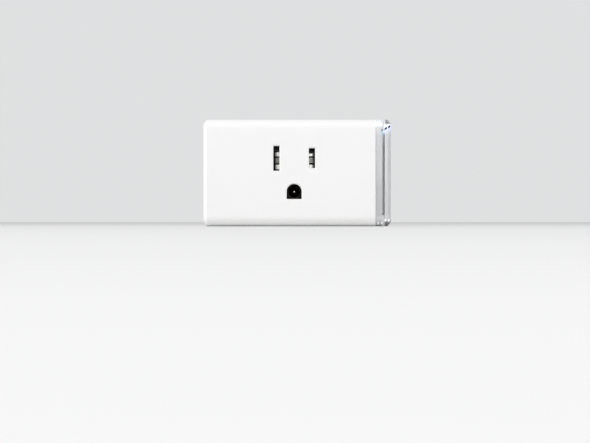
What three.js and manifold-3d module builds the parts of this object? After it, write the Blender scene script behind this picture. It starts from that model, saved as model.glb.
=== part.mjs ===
// Smart plug with one grounded receptacle, built as an assembly of separate pieces.
// Millimetres. X points right as seen from the front, Y points from the front into the wall, Z up.
// The origin is on the rear face, midway between the blades' line and the ground pin.
import * as THREE from "three";
import { mergeVertices } from "three/addons/utils/BufferGeometryUtils.js";
import Module from "manifold-3d";

const wasm = await Module();
wasm.setup();

// ---------- Driving dimensions ----------

// Body
const LEFT_X = -32.4;
const RIGHT_X = 34.6;
const FRONT_Y = -34;
const REAR_Y = 0;
const BOTTOM_Z = -18.4;
const TOP_Z = 19.8;
const FRONT_RADIUS = 3.5;
const REAR_RADIUS = 1.5;
const END_CHAMFER = 1.2;
const WALL = 2;
const FRONT_WALL = 2.4;
const END_WALL = 1.9;
const SPLIT_Y = -8;
const GAP = 0.3;
const BEYOND = 5;

// Right end, from the white shell out to the button
const SHELL_END_X = 28.9;
const GUIDE_X = [29.2, 31.5];
const BUTTON_X = [32.3, RIGHT_X];
const CARRIER_X = [29.6, 32.2];
const GUIDE_INSET = 3.8;
const CARRIER_INSET = 4.1;
const INSET_CORNER_RADIUS = 1.2;
const STEM_Y = -17;
const STEM_Z = 0.7;
const STEM_RADIUS = 2.2;
const STEM_HOLE_RADIUS = 2.8;
const LED_Y = -24;
const LED_Z = 16.4;
const LIGHT_PIPE_Z = 17.3;

// Grounded receptacle and plug, standard spacing
const BLADE_X = 6.35;
const BLADE_Z = 5.945;
const GROUND_Z = -5.945;
const BLADE_THICKNESS = 1.52;
const BLADE_WIDTH = 6.35;
const BLADE_LENGTH = 17.5;
const GROUND_PIN_RADIUS = 2.375;
const GROUND_PIN_LENGTH = 20.9;
const SLOT_WIDTH = 2.2;
const NEUTRAL_SLOT = [1.45, 10.3];
const LINE_SLOT = [2.4, 9.5];
const GROUND_HOLE_WIDTH = 5.35;
const GROUND_HOLE_FLOOR = 2.72;
const LEAD_IN = 0.4;

// Space inside the shell
const INNER_LEFT = LEFT_X + WALL;
const INNER_RIGHT = SHELL_END_X - END_WALL;
const INNER_BOTTOM = BOTTOM_Z + WALL;
const INNER_TOP = TOP_Z - WALL;
const INNER_FRONT = FRONT_Y + FRONT_WALL;
const FLOOR_Y = -2.4;
const LIP_Y = -10;
const LIP_WALL = 1;

// Boards
const BOARD_Y = [-7.6, -6];
const BOARD_FACE = BOARD_Y[0] - GAP;
const BOARD_TAIL = -5.2;
const SHEET_Y = [-4.3, -4];
const CONTROL_X = [23.3, 24.3];

// Screws
const CASE_SCREWS = [
  [-28, 15.4],
  [-28, -14],
  [19.6, 15.4],
  [19.6, -14],
];
const BOSS_RADIUS = 2.6;
const BOSS_PILOT_RADIUS = 1.25;
const BOSS_PILOT_END_Y = -18.5;
const CASE_SCREW_HOLE_RADIUS = 1.35;
const BOARD_SCREWS = [
  [-20.6, 13.6],
  [9.4, -13],
];
const STANDOFF_RADIUS = 1.9;
const STANDOFF_PILOT_RADIUS = 0.95;
const BOARD_SCREW_HOLE_RADIUS = 1.1;

// Contacts
const SHEET_METAL = 0.5;
const SHROUD_X = 12;
const SHROUD_Z = [-11, 12.3];
const SHROUD_FRONT = INNER_FRONT + GAP;
const POCKET_FRONT = SHROUD_FRONT + 0.9;
const CONTACT_BASE_Y = -17;

// Relay
const RELAY_X = [-28.8, -13.6];
const RELAY_Z = [-9, 9.4];
const RELAY_TOP_Y = -23.2;
const RELAY_BASE_Y = -9.4;
const RELAY_WALL = 0.7;
const COIL_X = -23.4;
const COIL_Y = -15.6;
const YOKE_X = [-18.8, -17.8];
const YOKE_Y = [-18.8, -12.4];
const CONTACT_Z = -1.6;

const ROUND = 24;
const SMALL_ROUND = 12;
const ARC_STEPS = 5;
const MERGE_DISTANCE = 1e-4;

// ---------- Shape helpers ----------

const DIRECTIONS = {
  x: new THREE.Matrix4().makeBasis(
    new THREE.Vector3(0, 1, 0),
    new THREE.Vector3(0, 0, 1),
    new THREE.Vector3(1, 0, 0),
  ),
  y: new THREE.Matrix4().makeBasis(
    new THREE.Vector3(1, 0, 0),
    new THREE.Vector3(0, 0, 1),
    new THREE.Vector3(0, -1, 0),
  ),
  z: new THREE.Matrix4(),
};

// Turns a geometry made along Z so that its length runs along the named axis.
// The outline's two directions become Y and Z, X and Z, or X and Y.
function turned(geometry, axis, from, to) {
  const start = { x: [from, 0, 0], y: [0, to, 0], z: [0, 0, from] }[axis];
  return geometry.applyMatrix4(DIRECTIONS[axis]).translate(...start);
}

function prism(axis, shape, from, to) {
  const settings = { depth: to - from, bevelEnabled: false, curveSegments: ARC_STEPS };
  return turned(new THREE.ExtrudeGeometry(shape, settings), axis, from, to);
}

// A prism whose two end faces are drawn in (or, with a negative inset, let out) by a 45 degree edge.
function chamferedPrism(axis, shape, from, to, chamfer, inset = chamfer) {
  const settings = {
    depth: to - from - 2 * chamfer,
    bevelEnabled: true,
    bevelThickness: chamfer,
    bevelSize: Math.abs(inset),
    bevelOffset: -Math.max(inset, 0),
    bevelSegments: 1,
    curveSegments: ARC_STEPS,
  };
  const geometry = new THREE.ExtrudeGeometry(shape, settings).translate(0, 0, chamfer);
  return turned(geometry, axis, from, to);
}

function block(x, y, z) {
  return new THREE.BoxGeometry(x[1] - x[0], y[1] - y[0], z[1] - z[0]).translate(
    (x[0] + x[1]) / 2,
    (y[0] + y[1]) / 2,
    (z[0] + z[1]) / 2,
  );
}

// A span let out at both ends by the working gap.
function widened(span) {
  return [span[0] - GAP, span[1] + GAP];
}

// A round bar along an axis, centred at (u, v) in the other two directions.
function bar(axis, radius, from, to, u, v, sides = SMALL_ROUND) {
  const geometry = new THREE.CylinderGeometry(radius, radius, to - from, sides);
  const middle = (from + to) / 2;
  if (axis === "x") return geometry.rotateZ(Math.PI / 2).translate(middle, u, v);
  if (axis === "y") return geometry.translate(u, middle, v);
  return geometry.rotateX(Math.PI / 2).translate(u, v, middle);
}

// A turned solid along Y from [radius, y] points that start and end on the axis.
function turnedAlongY(profile, x, z, sides = ROUND) {
  const points = profile.map(([radius, y]) => new THREE.Vector2(radius, y));
  return new THREE.LatheGeometry(points, sides).translate(x, 0, z);
}

// A rectangle with one radius at its low-u corners and another at its high-u corners.
function roundedOutline(u, v, lowRadius, highRadius = lowRadius) {
  const quarter = Math.PI / 2;
  const shape = new THREE.Shape();
  shape.moveTo(u[0] + lowRadius, v[0]);
  shape.absarc(u[1] - highRadius, v[0] + highRadius, highRadius, -quarter, 0);
  shape.absarc(u[1] - highRadius, v[1] - highRadius, highRadius, 0, quarter);
  shape.absarc(u[0] + lowRadius, v[1] - lowRadius, lowRadius, quarter, 2 * quarter);
  shape.absarc(u[0] + lowRadius, v[0] + lowRadius, lowRadius, 2 * quarter, 3 * quarter);
  return shape;
}

function polygon(points) {
  return new THREE.Shape(points.map(([u, v]) => new THREE.Vector2(u, v)));
}

// The outline of a strip of even thickness whose middle line runs through the points.
function strip(points, thickness) {
  const middle = points.map(([u, v]) => new THREE.Vector2(u, v));
  const sides = [1, -1].map((side) =>
    middle.map((point, i) => {
      const before = point.clone().sub(middle[Math.max(i - 1, 0)]).normalize();
      const after = middle[Math.min(i + 1, middle.length - 1)].clone().sub(point).normalize();
      const along = before.clone().add(after).normalize();
      const normal = new THREE.Vector2(-along.y, along.x);
      const straight = i === 0 ? after : before;
      const reach = thickness / 2 / along.dot(straight);
      return point.clone().addScaledVector(normal, side * reach);
    }),
  );
  return new THREE.Shape([...sides[0], ...sides[1].reverse()]);
}

// ---------- Joining and cutting ----------

function solidOf(geometry) {
  const bare = geometry.clone();
  bare.deleteAttribute("normal");
  bare.deleteAttribute("uv");
  const merged = mergeVertices(bare, MERGE_DISTANCE);
  return new wasm.Manifold(
    new wasm.Mesh({
      numProp: 3,
      vertProperties: merged.attributes.position.array,
      triVerts: new Uint32Array(merged.index.array),
    }),
  );
}

function geometryOf(solid) {
  const mesh = solid.getMesh();
  const geometry = new THREE.BufferGeometry();
  geometry.setAttribute("position", new THREE.BufferAttribute(mesh.vertProperties, 3));
  geometry.setIndex(new THREE.BufferAttribute(mesh.triVerts, 1));
  geometry.computeVertexNormals();
  return geometry;
}

function join(...pieces) {
  return geometryOf(pieces.map(solidOf).reduce((whole, piece) => whole.add(piece)));
}

function cut(piece, ...tools) {
  return geometryOf(tools.map(solidOf).reduce((rest, tool) => rest.subtract(tool), solidOf(piece)));
}

function within(piece, region) {
  return geometryOf(solidOf(piece).intersect(solidOf(region)));
}

// ---------- Assembly ----------

const plug = new THREE.Group();

const FINISHES = {
  whitePlastic: { color: 0xf3f3f1, roughness: 0.42, metalness: 0 },
  paleGreyPlastic: { color: 0xb9babb, roughness: 0.5, metalness: 0 },
  clearPlastic: { color: 0xd8dadb, roughness: 0.08, metalness: 0 },
  blackPlastic: { color: 0x141414, roughness: 0.6, metalness: 0 },
  nickel: { color: 0xc9c8c4, roughness: 0.3, metalness: 1 },
  springBrass: { color: 0xcdbf98, roughness: 0.32, metalness: 1 },
  screwSteel: { color: 0x8f9194, roughness: 0.35, metalness: 1 },
  iron: { color: 0x9a9b9d, roughness: 0.45, metalness: 1 },
  silver: { color: 0xdedede, roughness: 0.25, metalness: 1 },
  copperWinding: { color: 0x9c4a24, roughness: 0.4, metalness: 0.8 },
  boardGreen: { color: 0x14522f, roughness: 0.45, metalness: 0 },
  boardBlack: { color: 0x1a1d1f, roughness: 0.45, metalness: 0 },
  relayBlack: { color: 0x1b1d20, roughness: 0.4, metalness: 0 },
  bobbinWhite: { color: 0xe6e2d4, roughness: 0.55, metalness: 0 },
  capacitorSleeve: { color: 0x1c2f4e, roughness: 0.35, metalness: 0 },
  varistorBlue: { color: 0x1f5fa8, roughness: 0.4, metalness: 0 },
  filmYellow: { color: 0xd9b13b, roughness: 0.45, metalness: 0 },
  resistorBody: { color: 0x6f8f6a, roughness: 0.55, metalness: 0 },
  ferrite: { color: 0x2d2c2b, roughness: 0.6, metalness: 0.1 },
  chipBlack: { color: 0x1a1a1b, roughness: 0.55, metalness: 0 },
  ledBody: { color: 0x9fc4ff, roughness: 0.2, metalness: 0 },
  sheetFilm: { color: 0xcfd2cd, roughness: 0.5, metalness: 0 },
};

function addPiece(name, geometry, finish) {
  const mesh = new THREE.Mesh(geometry, new THREE.MeshStandardMaterial(FINISHES[finish]));
  mesh.name = name;
  plug.add(mesh);
}

// ---------- Shells ----------

// The outside of the whole body, chamfered round both ends.
function envelope() {
  const outline = roundedOutline([FRONT_Y, REAR_Y], [BOTTOM_Z, TOP_Z], FRONT_RADIUS, REAR_RADIUS);
  return chamferedPrism("x", outline, LEFT_X, RIGHT_X, END_CHAMFER);
}

function envelopeSlice(x, y = [FRONT_Y - BEYOND, REAR_Y + BEYOND]) {
  return within(envelope(), block(x, y, [BOTTOM_Z - BEYOND, TOP_Z + BEYOND]));
}

function insetOutline(inset) {
  const y = [FRONT_Y + inset, REAR_Y - inset];
  const z = [BOTTOM_Z + inset, TOP_Z - inset];
  return roundedOutline(y, z, INSET_CORNER_RADIUS);
}

// A slot through the front wall with its 45 degree lead-in.
function slotTools(outline) {
  return [
    prism("y", outline, FRONT_Y - 1, INNER_FRONT + 1),
    chamferedPrism("y", outline, FRONT_Y - 2, FRONT_Y + LEAD_IN, LEAD_IN, -LEAD_IN),
  ];
}

function bladeSlot(centreX, z) {
  const half = SLOT_WIDTH / 2;
  return polygon([
    [centreX - half, z[0]],
    [centreX + half, z[0]],
    [centreX + half, z[1]],
    [centreX - half, z[1]],
  ]);
}

// Round at the top, flat at the bottom.
function groundHoleOutline() {
  const half = GROUND_HOLE_WIDTH / 2;
  const shape = new THREE.Shape();
  shape.moveTo(-half, GROUND_Z - GROUND_HOLE_FLOOR);
  shape.lineTo(half, GROUND_Z - GROUND_HOLE_FLOOR);
  shape.absarc(0, GROUND_Z, half, 0, Math.PI);
  return shape;
}

const HOOKS_Z = [9.2, -7.8];
const HOOK_Y = [-19, -15];
const HOOK_THICKNESS = 1.2;
const HOOK_CATCH = 0.6;
const HOOK_TIP_X = [INNER_RIGHT - 1.2, INNER_RIGHT - 0.3];
const GUIDE_PEGS = [
  [-32, 9],
  [-32, -7.6],
  [-2, 0.7],
];
const PEG_RADIUS = 0.8;
const PEG_LENGTH = 1.3;
const LIGHT_PIPE_RADIUS = 1.2;

// The openings of the right end wall: button stem, hooks, light pipe and the guide's pegs.
function endWallTools() {
  const wallX = [INNER_RIGHT - 1, SHELL_END_X + 1];
  const hookSlots = HOOKS_Z.map((z) => {
    const out = Math.sign(z);
    const z0 = z - out * (HOOK_THICKNESS / 2 + GAP);
    const z1 = z + out * (HOOK_THICKNESS / 2 + HOOK_CATCH + GAP);
    return block(wallX, [HOOK_Y[0] - 0.4, HOOK_Y[1] + 0.4], [Math.min(z0, z1), Math.max(z0, z1)]);
  });
  const pegHoles = GUIDE_PEGS.map(([y, z]) =>
    bar("x", PEG_RADIUS + GAP, SHELL_END_X - PEG_LENGTH - GAP, SHELL_END_X + 1, y, z),
  );
  return [
    bar("x", STEM_HOLE_RADIUS, ...wallX, STEM_Y, STEM_Z, ROUND),
    bar("x", LIGHT_PIPE_RADIUS + GAP, ...wallX, LED_Y, LIGHT_PIPE_Z),
    ...hookSlots,
    ...pegHoles,
  ];
}

function frontCover() {
  const shell = envelopeSlice([LEFT_X - 1, SHELL_END_X], [FRONT_Y - 1, SPLIT_Y - GAP / 2]);
  const hollow = prism(
    "x",
    roundedOutline([INNER_FRONT, SPLIT_Y + 1], [INNER_BOTTOM, INNER_TOP], 1.2, 0.2),
    INNER_LEFT,
    INNER_RIGHT,
  );
  const bosses = CASE_SCREWS.map(([x, z]) =>
    bar("y", BOSS_RADIUS, INNER_FRONT - 1, SPLIT_Y - GAP, x, z, ROUND),
  );
  const pilots = CASE_SCREWS.map(([x, z]) =>
    bar("y", BOSS_PILOT_RADIUS, BOSS_PILOT_END_Y, SPLIT_Y + 1, x, z),
  );
  return cut(
    join(cut(shell, hollow), ...bosses),
    ...pilots,
    ...slotTools(bladeSlot(-BLADE_X, NEUTRAL_SLOT)),
    ...slotTools(bladeSlot(BLADE_X, LINE_SLOT)),
    ...slotTools(groundHoleOutline()),
    ...endWallTools(),
  );
}

const SCREW_HEAD_RADIUS = 2;
const SCREW_HEAD_DEPTH = 1.5;
const SCREW_RECESS = 0.3;
const CASE_SCREW = {
  headRadius: SCREW_HEAD_RADIUS,
  headDepth: SCREW_HEAD_DEPTH,
  shankRadius: 1.05,
  length: 13,
};
const BOARD_SCREW = { headRadius: 1.7, headDepth: 0.9, shankRadius: 0.75, length: 4.6 };

// The tongue that enters the front cover, open at the four screw bosses.
function rearLip() {
  const u = [INNER_LEFT + GAP, INNER_RIGHT - GAP];
  const v = [INNER_BOTTOM + GAP, INNER_TOP - GAP];
  const inner = [
    [u[0] + LIP_WALL, u[1] - LIP_WALL],
    [v[0] + LIP_WALL, v[1] - LIP_WALL],
  ];
  const notches = CASE_SCREWS.map(([x, z]) =>
    bar("y", BOSS_RADIUS + GAP, LIP_Y - 1, SPLIT_Y + GAP / 2, x, z, ROUND),
  );
  return cut(
    prism("y", roundedOutline(u, v, 0.8), LIP_Y, FLOOR_Y - 1),
    prism("y", roundedOutline(...inner, 0.4), LIP_Y - 1, FLOOR_Y),
    ...notches,
  );
}

function rearCover() {
  const shell = envelopeSlice([LEFT_X - 1, SHELL_END_X], [SPLIT_Y + GAP / 2, REAR_Y + 1]);
  const hollow = block(
    [INNER_LEFT, INNER_RIGHT],
    [SPLIT_Y - 1, FLOOR_Y],
    [INNER_BOTTOM, INNER_TOP],
  );
  const posts = CASE_SCREWS.map(([x, z]) =>
    bar("y", BOSS_RADIUS - 0.1, SPLIT_Y + GAP / 2, FLOOR_Y + 1, x, z, ROUND),
  );
  const standoffs = BOARD_SCREWS.map(([x, z]) =>
    bar("y", STANDOFF_RADIUS, BOARD_Y[1] + 0.1, FLOOR_Y + 1, x, z),
  );
  const headDepth = SCREW_HEAD_DEPTH + SCREW_RECESS + GAP;
  const screwHoles = CASE_SCREWS.flatMap(([x, z]) => [
    bar("y", CASE_SCREW_HOLE_RADIUS, SPLIT_Y - 1, REAR_Y, x, z),
    bar("y", SCREW_HEAD_RADIUS + GAP, REAR_Y - headDepth, REAR_Y + 1, x, z, ROUND),
  ]);
  const boardPilots = BOARD_SCREWS.map(([x, z]) =>
    bar("y", STANDOFF_PILOT_RADIUS, BOARD_Y[1] - 1, FLOOR_Y + 0.6, x, z),
  );
  const bladeSlots = [-BLADE_X, BLADE_X].map((x) => {
    const halfThickness = BLADE_THICKNESS / 2 + GAP;
    const halfWidth = BLADE_WIDTH / 2 + GAP;
    return block(
      [x - halfThickness, x + halfThickness],
      [FLOOR_Y - 1, REAR_Y + 1],
      [BLADE_Z - halfWidth, BLADE_Z + halfWidth],
    );
  });
  return cut(
    join(cut(shell, hollow), rearLip(), ...posts, ...standoffs),
    ...screwHoles,
    ...boardPilots,
    ...bladeSlots,
    bar("y", GROUND_PIN_RADIUS + GAP, FLOOR_Y - 1, REAR_Y + 1, 0, GROUND_Z, ROUND),
    ...endWallTools(),
  );
}

addPiece("front_cover", frontCover(), "whitePlastic");
addPiece("rear_cover", rearCover(), "whitePlastic");

// ---------- Lit end and button ----------

function sideLightGuide() {
  const ring = cut(
    envelopeSlice(GUIDE_X),
    prism("x", insetOutline(GUIDE_INSET), GUIDE_X[0] - 1, GUIDE_X[1] + 1),
  );
  const pegs = GUIDE_PEGS.map(([y, z]) =>
    bar("x", PEG_RADIUS, SHELL_END_X - PEG_LENGTH, GUIDE_X[0] + 1, y, z),
  );
  const lightPipe = bar("x", LIGHT_PIPE_RADIUS, INNER_RIGHT, GUIDE_X[0] + 1, LED_Y, LIGHT_PIPE_Z);
  return join(ring, lightPipe, ...pegs);
}

const PLUNGER_END_X = 27.7;

// The opaque core behind the clear plate, with the stem that works the switch and two snap hooks.
function buttonCarrier() {
  const core = prism("x", insetOutline(CARRIER_INSET), ...CARRIER_X);
  const stem = bar("x", STEM_RADIUS, PLUNGER_END_X + 0.1, CARRIER_X[0] + 1, STEM_Y, STEM_Z, ROUND);
  const hooks = HOOKS_Z.flatMap((z) => {
    const out = Math.sign(z);
    const leg = [z - HOOK_THICKNESS / 2, z + HOOK_THICKNESS / 2];
    const catchEdge = z + out * (HOOK_THICKNESS / 2 + HOOK_CATCH);
    const ledge = [Math.min(z, catchEdge), Math.max(z, catchEdge)];
    return [
      block([HOOK_TIP_X[0], CARRIER_X[0] + 1], HOOK_Y, leg),
      block(HOOK_TIP_X, HOOK_Y, ledge),
    ];
  });
  return join(core, stem, ...hooks);
}

addPiece("side_light_guide", sideLightGuide(), "clearPlastic");
addPiece("power_button", envelopeSlice([BUTTON_X[0], BUTTON_X[1] + 1]), "clearPlastic");
addPiece("button_carrier", buttonCarrier(), "paleGreyPlastic");

// ---------- Receptacle contacts ----------

const POCKET_X = [4.2, 10.4];
const POCKET_Z = [1.2, 10.9];
const MOUTH_X = [4.9, 7.9];
const MOUTH_Z = [0.9 + GAP, 10.9];
const GROUND_POCKET_X = 4.2;
const GROUND_POCKET_Z = [-10, -1];
const GROUND_MOUTH_RADIUS = 3.2;
const SHROUD_PEG_RADIUS = 0.7;
const SHROUD_PEGS = [
  [-11.2, -9.8],
  [11.2, -9.8],
];

function mirrored(range, side) {
  return side > 0 ? range : [-range[1], -range[0]];
}

function contactShroud() {
  const outline = roundedOutline([-SHROUD_X, SHROUD_X], SHROUD_Z, 1.5);
  const body = prism("y", outline, SHROUD_FRONT, BOARD_FACE);
  const mouthY = [SHROUD_FRONT - 1, POCKET_FRONT + 1];
  const pockets = [-1, 1].flatMap((side) => [
    block(mirrored(POCKET_X, side), [POCKET_FRONT, BOARD_FACE + 1], POCKET_Z),
    block(mirrored(MOUTH_X, side), mouthY, MOUTH_Z),
  ]);
  const groundPocket = block(
    [-GROUND_POCKET_X, GROUND_POCKET_X],
    [POCKET_FRONT, BOARD_FACE + 1],
    GROUND_POCKET_Z,
  );
  const groundMouth = bar("y", GROUND_MOUTH_RADIUS, ...mouthY, 0, GROUND_Z, ROUND);
  const groundMouthFloor = block(
    [-GROUND_MOUTH_RADIUS, GROUND_MOUTH_RADIUS],
    mouthY,
    [GROUND_Z - GROUND_MOUTH_RADIUS, GROUND_Z],
  );
  const middlePocket = block([-3, 3], [POCKET_FRONT + 2, BOARD_FACE + 1], [0.2, 10.9]);
  const pegs = SHROUD_PEGS.map(([x, z]) =>
    bar("y", SHROUD_PEG_RADIUS, BOARD_FACE - 1, BOARD_Y[1], x, z),
  );
  const hollowed = cut(body, ...pockets, groundPocket, groundMouth, groundMouthFloor, middlePocket);
  return join(hollowed, ...pegs);
}

const FINGERS = [
  { z: [2.05, 3.68], bulgeY: -29 },
  { z: [4.3, 6.3], bulgeY: -26.4 },
  { z: [6.75, 8.15], bulgeY: -29 },
];
const LEAF_X = 4.9;
const BULGE_X = 6.5;
const LIP_END_X = 5;
const LIP_RISE = 0.8;
const OUTER_LEAF_X = 7.8;
const OUTER_LEAF_FRONT_Y = -29.6;
const NEUTRAL_CONTACT_TOP = 8.15;
const LINE_CONTACT_TOP = 7.65;
const TAIL_X = 9.55;
const TAIL_Z = [4.4, 7.4];

// A clip for one flat blade: a straight outer leaf and an inner leaf split into three sprung fingers.
function bladeContact(side, topZ) {
  const half = SHEET_METAL / 2;
  const allZ = [FINGERS[0].z[0], topZ];
  const fingers = FINGERS.map(({ z, bulgeY }) => {
    const route = [
      [side * LEAF_X, CONTACT_BASE_Y - 4],
      [side * (LEAF_X + 0.25), bulgeY + 4],
      [side * BULGE_X, bulgeY],
      [side * LIP_END_X, bulgeY - LIP_RISE],
    ];
    return prism("z", strip(route, SHEET_METAL), z[0], Math.min(z[1], topZ));
  });
  const innerLeaf = [LEAF_X - half, LEAF_X + half];
  const outerLeaf = [OUTER_LEAF_X - half, OUTER_LEAF_X + half];
  const tail = [TAIL_X - half, TAIL_X + half];
  const baseY = [CONTACT_BASE_Y, CONTACT_BASE_Y + SHEET_METAL];
  return join(
    block(mirrored(innerLeaf, side), [CONTACT_BASE_Y - 5, CONTACT_BASE_Y], allZ),
    block(mirrored(outerLeaf, side), [OUTER_LEAF_FRONT_Y, CONTACT_BASE_Y], allZ),
    block(mirrored([innerLeaf[0], tail[1]], side), baseY, allZ),
    block(mirrored(tail, side), [CONTACT_BASE_Y, BOARD_TAIL], TAIL_Z),
    ...fingers,
  );
}

const GROUND_BASE_Y = [-19.6, -19];
const GROUND_STEM_RADIUS = 1.6;
const FORK_X = 3.3;
const FORK_HALF_HEIGHT = 2.4;

// A fork whose two leaves close on a round ground pin.
function groundContact() {
  const z = [GROUND_Z - FORK_HALF_HEIGHT, GROUND_Z + FORK_HALF_HEIGHT];
  const reach = FORK_X + SHEET_METAL / 2;
  const leaves = [-1, 1].map((side) => {
    const route = [
      [side * FORK_X, GROUND_BASE_Y[0]],
      [side * FORK_X, -22.5],
      [side * 2.6, -25.5],
      [side * FORK_X, -28.8],
    ];
    return prism("z", strip(route, SHEET_METAL), ...z);
  });
  const base = block([-reach, reach], GROUND_BASE_Y, z);
  const stemHole = bar("y", GROUND_STEM_RADIUS + GAP, -20.5, -18.5, 0, GROUND_Z);
  return cut(join(base, ...leaves), stemHole);
}

addPiece("contact_shroud", contactShroud(), "blackPlastic");
addPiece("neutral_contact", bladeContact(-1, NEUTRAL_CONTACT_TOP), "springBrass");
addPiece("line_contact", bladeContact(1, LINE_CONTACT_TOP), "springBrass");
addPiece("ground_contact", groundContact(), "springBrass");

// ---------- Plug blades ----------

const FLANGE_Y = [-3.4, FLOOR_Y - 0.1];
const BLADE_HOLE_Y = 11.9;
const BLADE_HOLE_RADIUS = 1.6;
const TIP_CHAMFER = 1.5;
const TIP_TAPER = 0.45;
const TIP_TAPER_LENGTH = 1.2;
const BLADE_FLANGE_HALF = 2;
const BLADE_TAIL_HALF = 0.5;
const BLADE_TAIL_END_Y = -8.8;
const PIN_FLANGE_RADIUS = 3.6;
const RIVET_RADIUS = 2.1;

// A flat blade with a chamfered tip, its flange inside the rear cover and its tail through the board.
function blade(x) {
  const z = [BLADE_Z - BLADE_WIDTH / 2, BLADE_Z + BLADE_WIDTH / 2];
  const half = BLADE_THICKNESS / 2;
  const side = polygon([
    [FLANGE_Y[0] + 0.3, z[0]],
    [BLADE_LENGTH - TIP_CHAMFER, z[0]],
    [BLADE_LENGTH, z[0] + TIP_CHAMFER],
    [BLADE_LENGTH, z[1] - TIP_CHAMFER],
    [BLADE_LENGTH - TIP_CHAMFER, z[1]],
    [FLANGE_Y[0] + 0.3, z[1]],
  ]);
  const plan = polygon([
    [x - half, FLANGE_Y[0]],
    [x + half, FLANGE_Y[0]],
    [x + half, BLADE_LENGTH - TIP_TAPER_LENGTH],
    [x + half - TIP_TAPER, BLADE_LENGTH],
    [x - half + TIP_TAPER, BLADE_LENGTH],
    [x - half, BLADE_LENGTH - TIP_TAPER_LENGTH],
  ]);
  const tapered = within(prism("x", side, x - half, x + half), prism("z", plan, z[0] - 1, z[1] + 1));
  const flangeX = [x - BLADE_FLANGE_HALF, x + BLADE_FLANGE_HALF];
  const tailX = [x - BLADE_TAIL_HALF, x + BLADE_TAIL_HALF];
  const flange = block(flangeX, FLANGE_Y, [z[0] - 1, z[1] + 1]);
  const tail = block(tailX, [BLADE_TAIL_END_Y, FLANGE_Y[0] + 0.3], TAIL_Z);
  const hole = bar("x", BLADE_HOLE_RADIUS, x - 1, x + 1, BLADE_HOLE_Y, BLADE_Z, ROUND);
  return cut(join(tapered, flange, tail), hole);
}

// The round pin: a dome tip outside, a flange inside and a stem riveted to the ground contact.
function groundPin() {
  const domeSteps = 4;
  const dome = Array.from({ length: domeSteps + 1 }, (_, step) => {
    const angle = (step / domeSteps) * (Math.PI / 2);
    return [
      GROUND_PIN_RADIUS * Math.sin(angle),
      GROUND_PIN_LENGTH - GROUND_PIN_RADIUS * (1 - Math.cos(angle)),
    ];
  });
  const profile = [
    ...dome,
    [GROUND_PIN_RADIUS, FLANGE_Y[1]],
    [PIN_FLANGE_RADIUS, FLANGE_Y[1]],
    [PIN_FLANGE_RADIUS, FLANGE_Y[0]],
    [GROUND_STEM_RADIUS, FLANGE_Y[0]],
    [GROUND_STEM_RADIUS, GROUND_BASE_Y[0] - GAP],
    [RIVET_RADIUS, GROUND_BASE_Y[0] - GAP],
    [1.7, GROUND_BASE_Y[0] - 0.9],
    [0.8, GROUND_BASE_Y[0] - 1.3],
    [0, GROUND_BASE_Y[0] - 1.4],
  ];
  return turnedAlongY(profile.reverse(), 0, GROUND_Z);
}

addPiece("line_blade", blade(BLADE_X), "nickel");
addPiece("neutral_blade", blade(-BLADE_X), "nickel");
addPiece("ground_pin", groundPin(), "nickel");

// ---------- Relay ----------

const RELAY_PIN = 0.4;
const COIL_PINS_Z = [-4.6, 3.4];
const COIL_PIN_X = -26.6;
const COMMON_PIN_Z = [-1, 1];
const FIXED_X = [-15.3, -14.8];
const FIXED_PIN_Z = [-2.4, -0.6];
const BOBBIN_Z = [-6.6, 5];
const FLANGE_THICKNESS = 0.8;
const ARMATURE_X = [COIL_X - 4, YOKE_X[1] - 0.1];
const ARMATURE_Z = [6.4, 7.3];
const SPRING_X = [-17.3, -17.1];
const BOBBIN_HALF = 4.4;
const BARREL_RADIUS = 2.6;
const BORE_RADIUS = 1.95;
const CORE_RADIUS = 1.7;
const CORE_HEAD_RADIUS = 3;
const COIL_RADIUS = 4.1;
const RIVET_HOLE_RADIUS = 0.7;

function relayBase() {
  const plate = block(
    [RELAY_X[0] + 0.2, RELAY_X[1] - 0.2],
    [RELAY_BASE_Y, BOARD_FACE],
    [RELAY_Z[0] + 0.2, RELAY_Z[1] - 0.2],
  );
  const through = [RELAY_BASE_Y - 1, BOARD_FACE + 1];
  const coilPinHoles = COIL_PINS_Z.map((z) => bar("y", RELAY_PIN + GAP, ...through, COIL_PIN_X, z));
  const commonHole = block(widened(YOKE_X), through, widened(COMMON_PIN_Z));
  const fixedHole = block(widened(FIXED_X), through, widened(FIXED_PIN_Z));
  return cut(plate, ...coilPinHoles, commonHole, fixedHole);
}

function relayCase() {
  const openEnd = RELAY_BASE_Y - GAP;
  const outside = prism("y", roundedOutline(RELAY_X, RELAY_Z, 0.6), RELAY_TOP_Y, openEnd);
  const inside = block(
    [RELAY_X[0] + RELAY_WALL, RELAY_X[1] - RELAY_WALL],
    [RELAY_TOP_Y + RELAY_WALL, openEnd + 1],
    [RELAY_Z[0] + RELAY_WALL, RELAY_Z[1] - RELAY_WALL],
  );
  return cut(outside, inside);
}

function relayBobbin() {
  const flangeX = [COIL_X - BOBBIN_HALF, COIL_X + BOBBIN_HALF];
  const flangeY = [COIL_Y - BOBBIN_HALF, COIL_Y + BOBBIN_HALF];
  const flange = (z) => block(flangeX, flangeY, z);
  const barrel = bar("z", BARREL_RADIUS, ...BOBBIN_Z, COIL_X, COIL_Y, ROUND);
  const spool = join(
    flange([BOBBIN_Z[0], BOBBIN_Z[0] + FLANGE_THICKNESS]),
    barrel,
    flange([BOBBIN_Z[1] - FLANGE_THICKNESS, BOBBIN_Z[1]]),
  );
  return cut(spool, bar("z", BORE_RADIUS, BOBBIN_Z[0] - 1, BOBBIN_Z[1] + 1, COIL_X, COIL_Y, ROUND));
}

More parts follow.
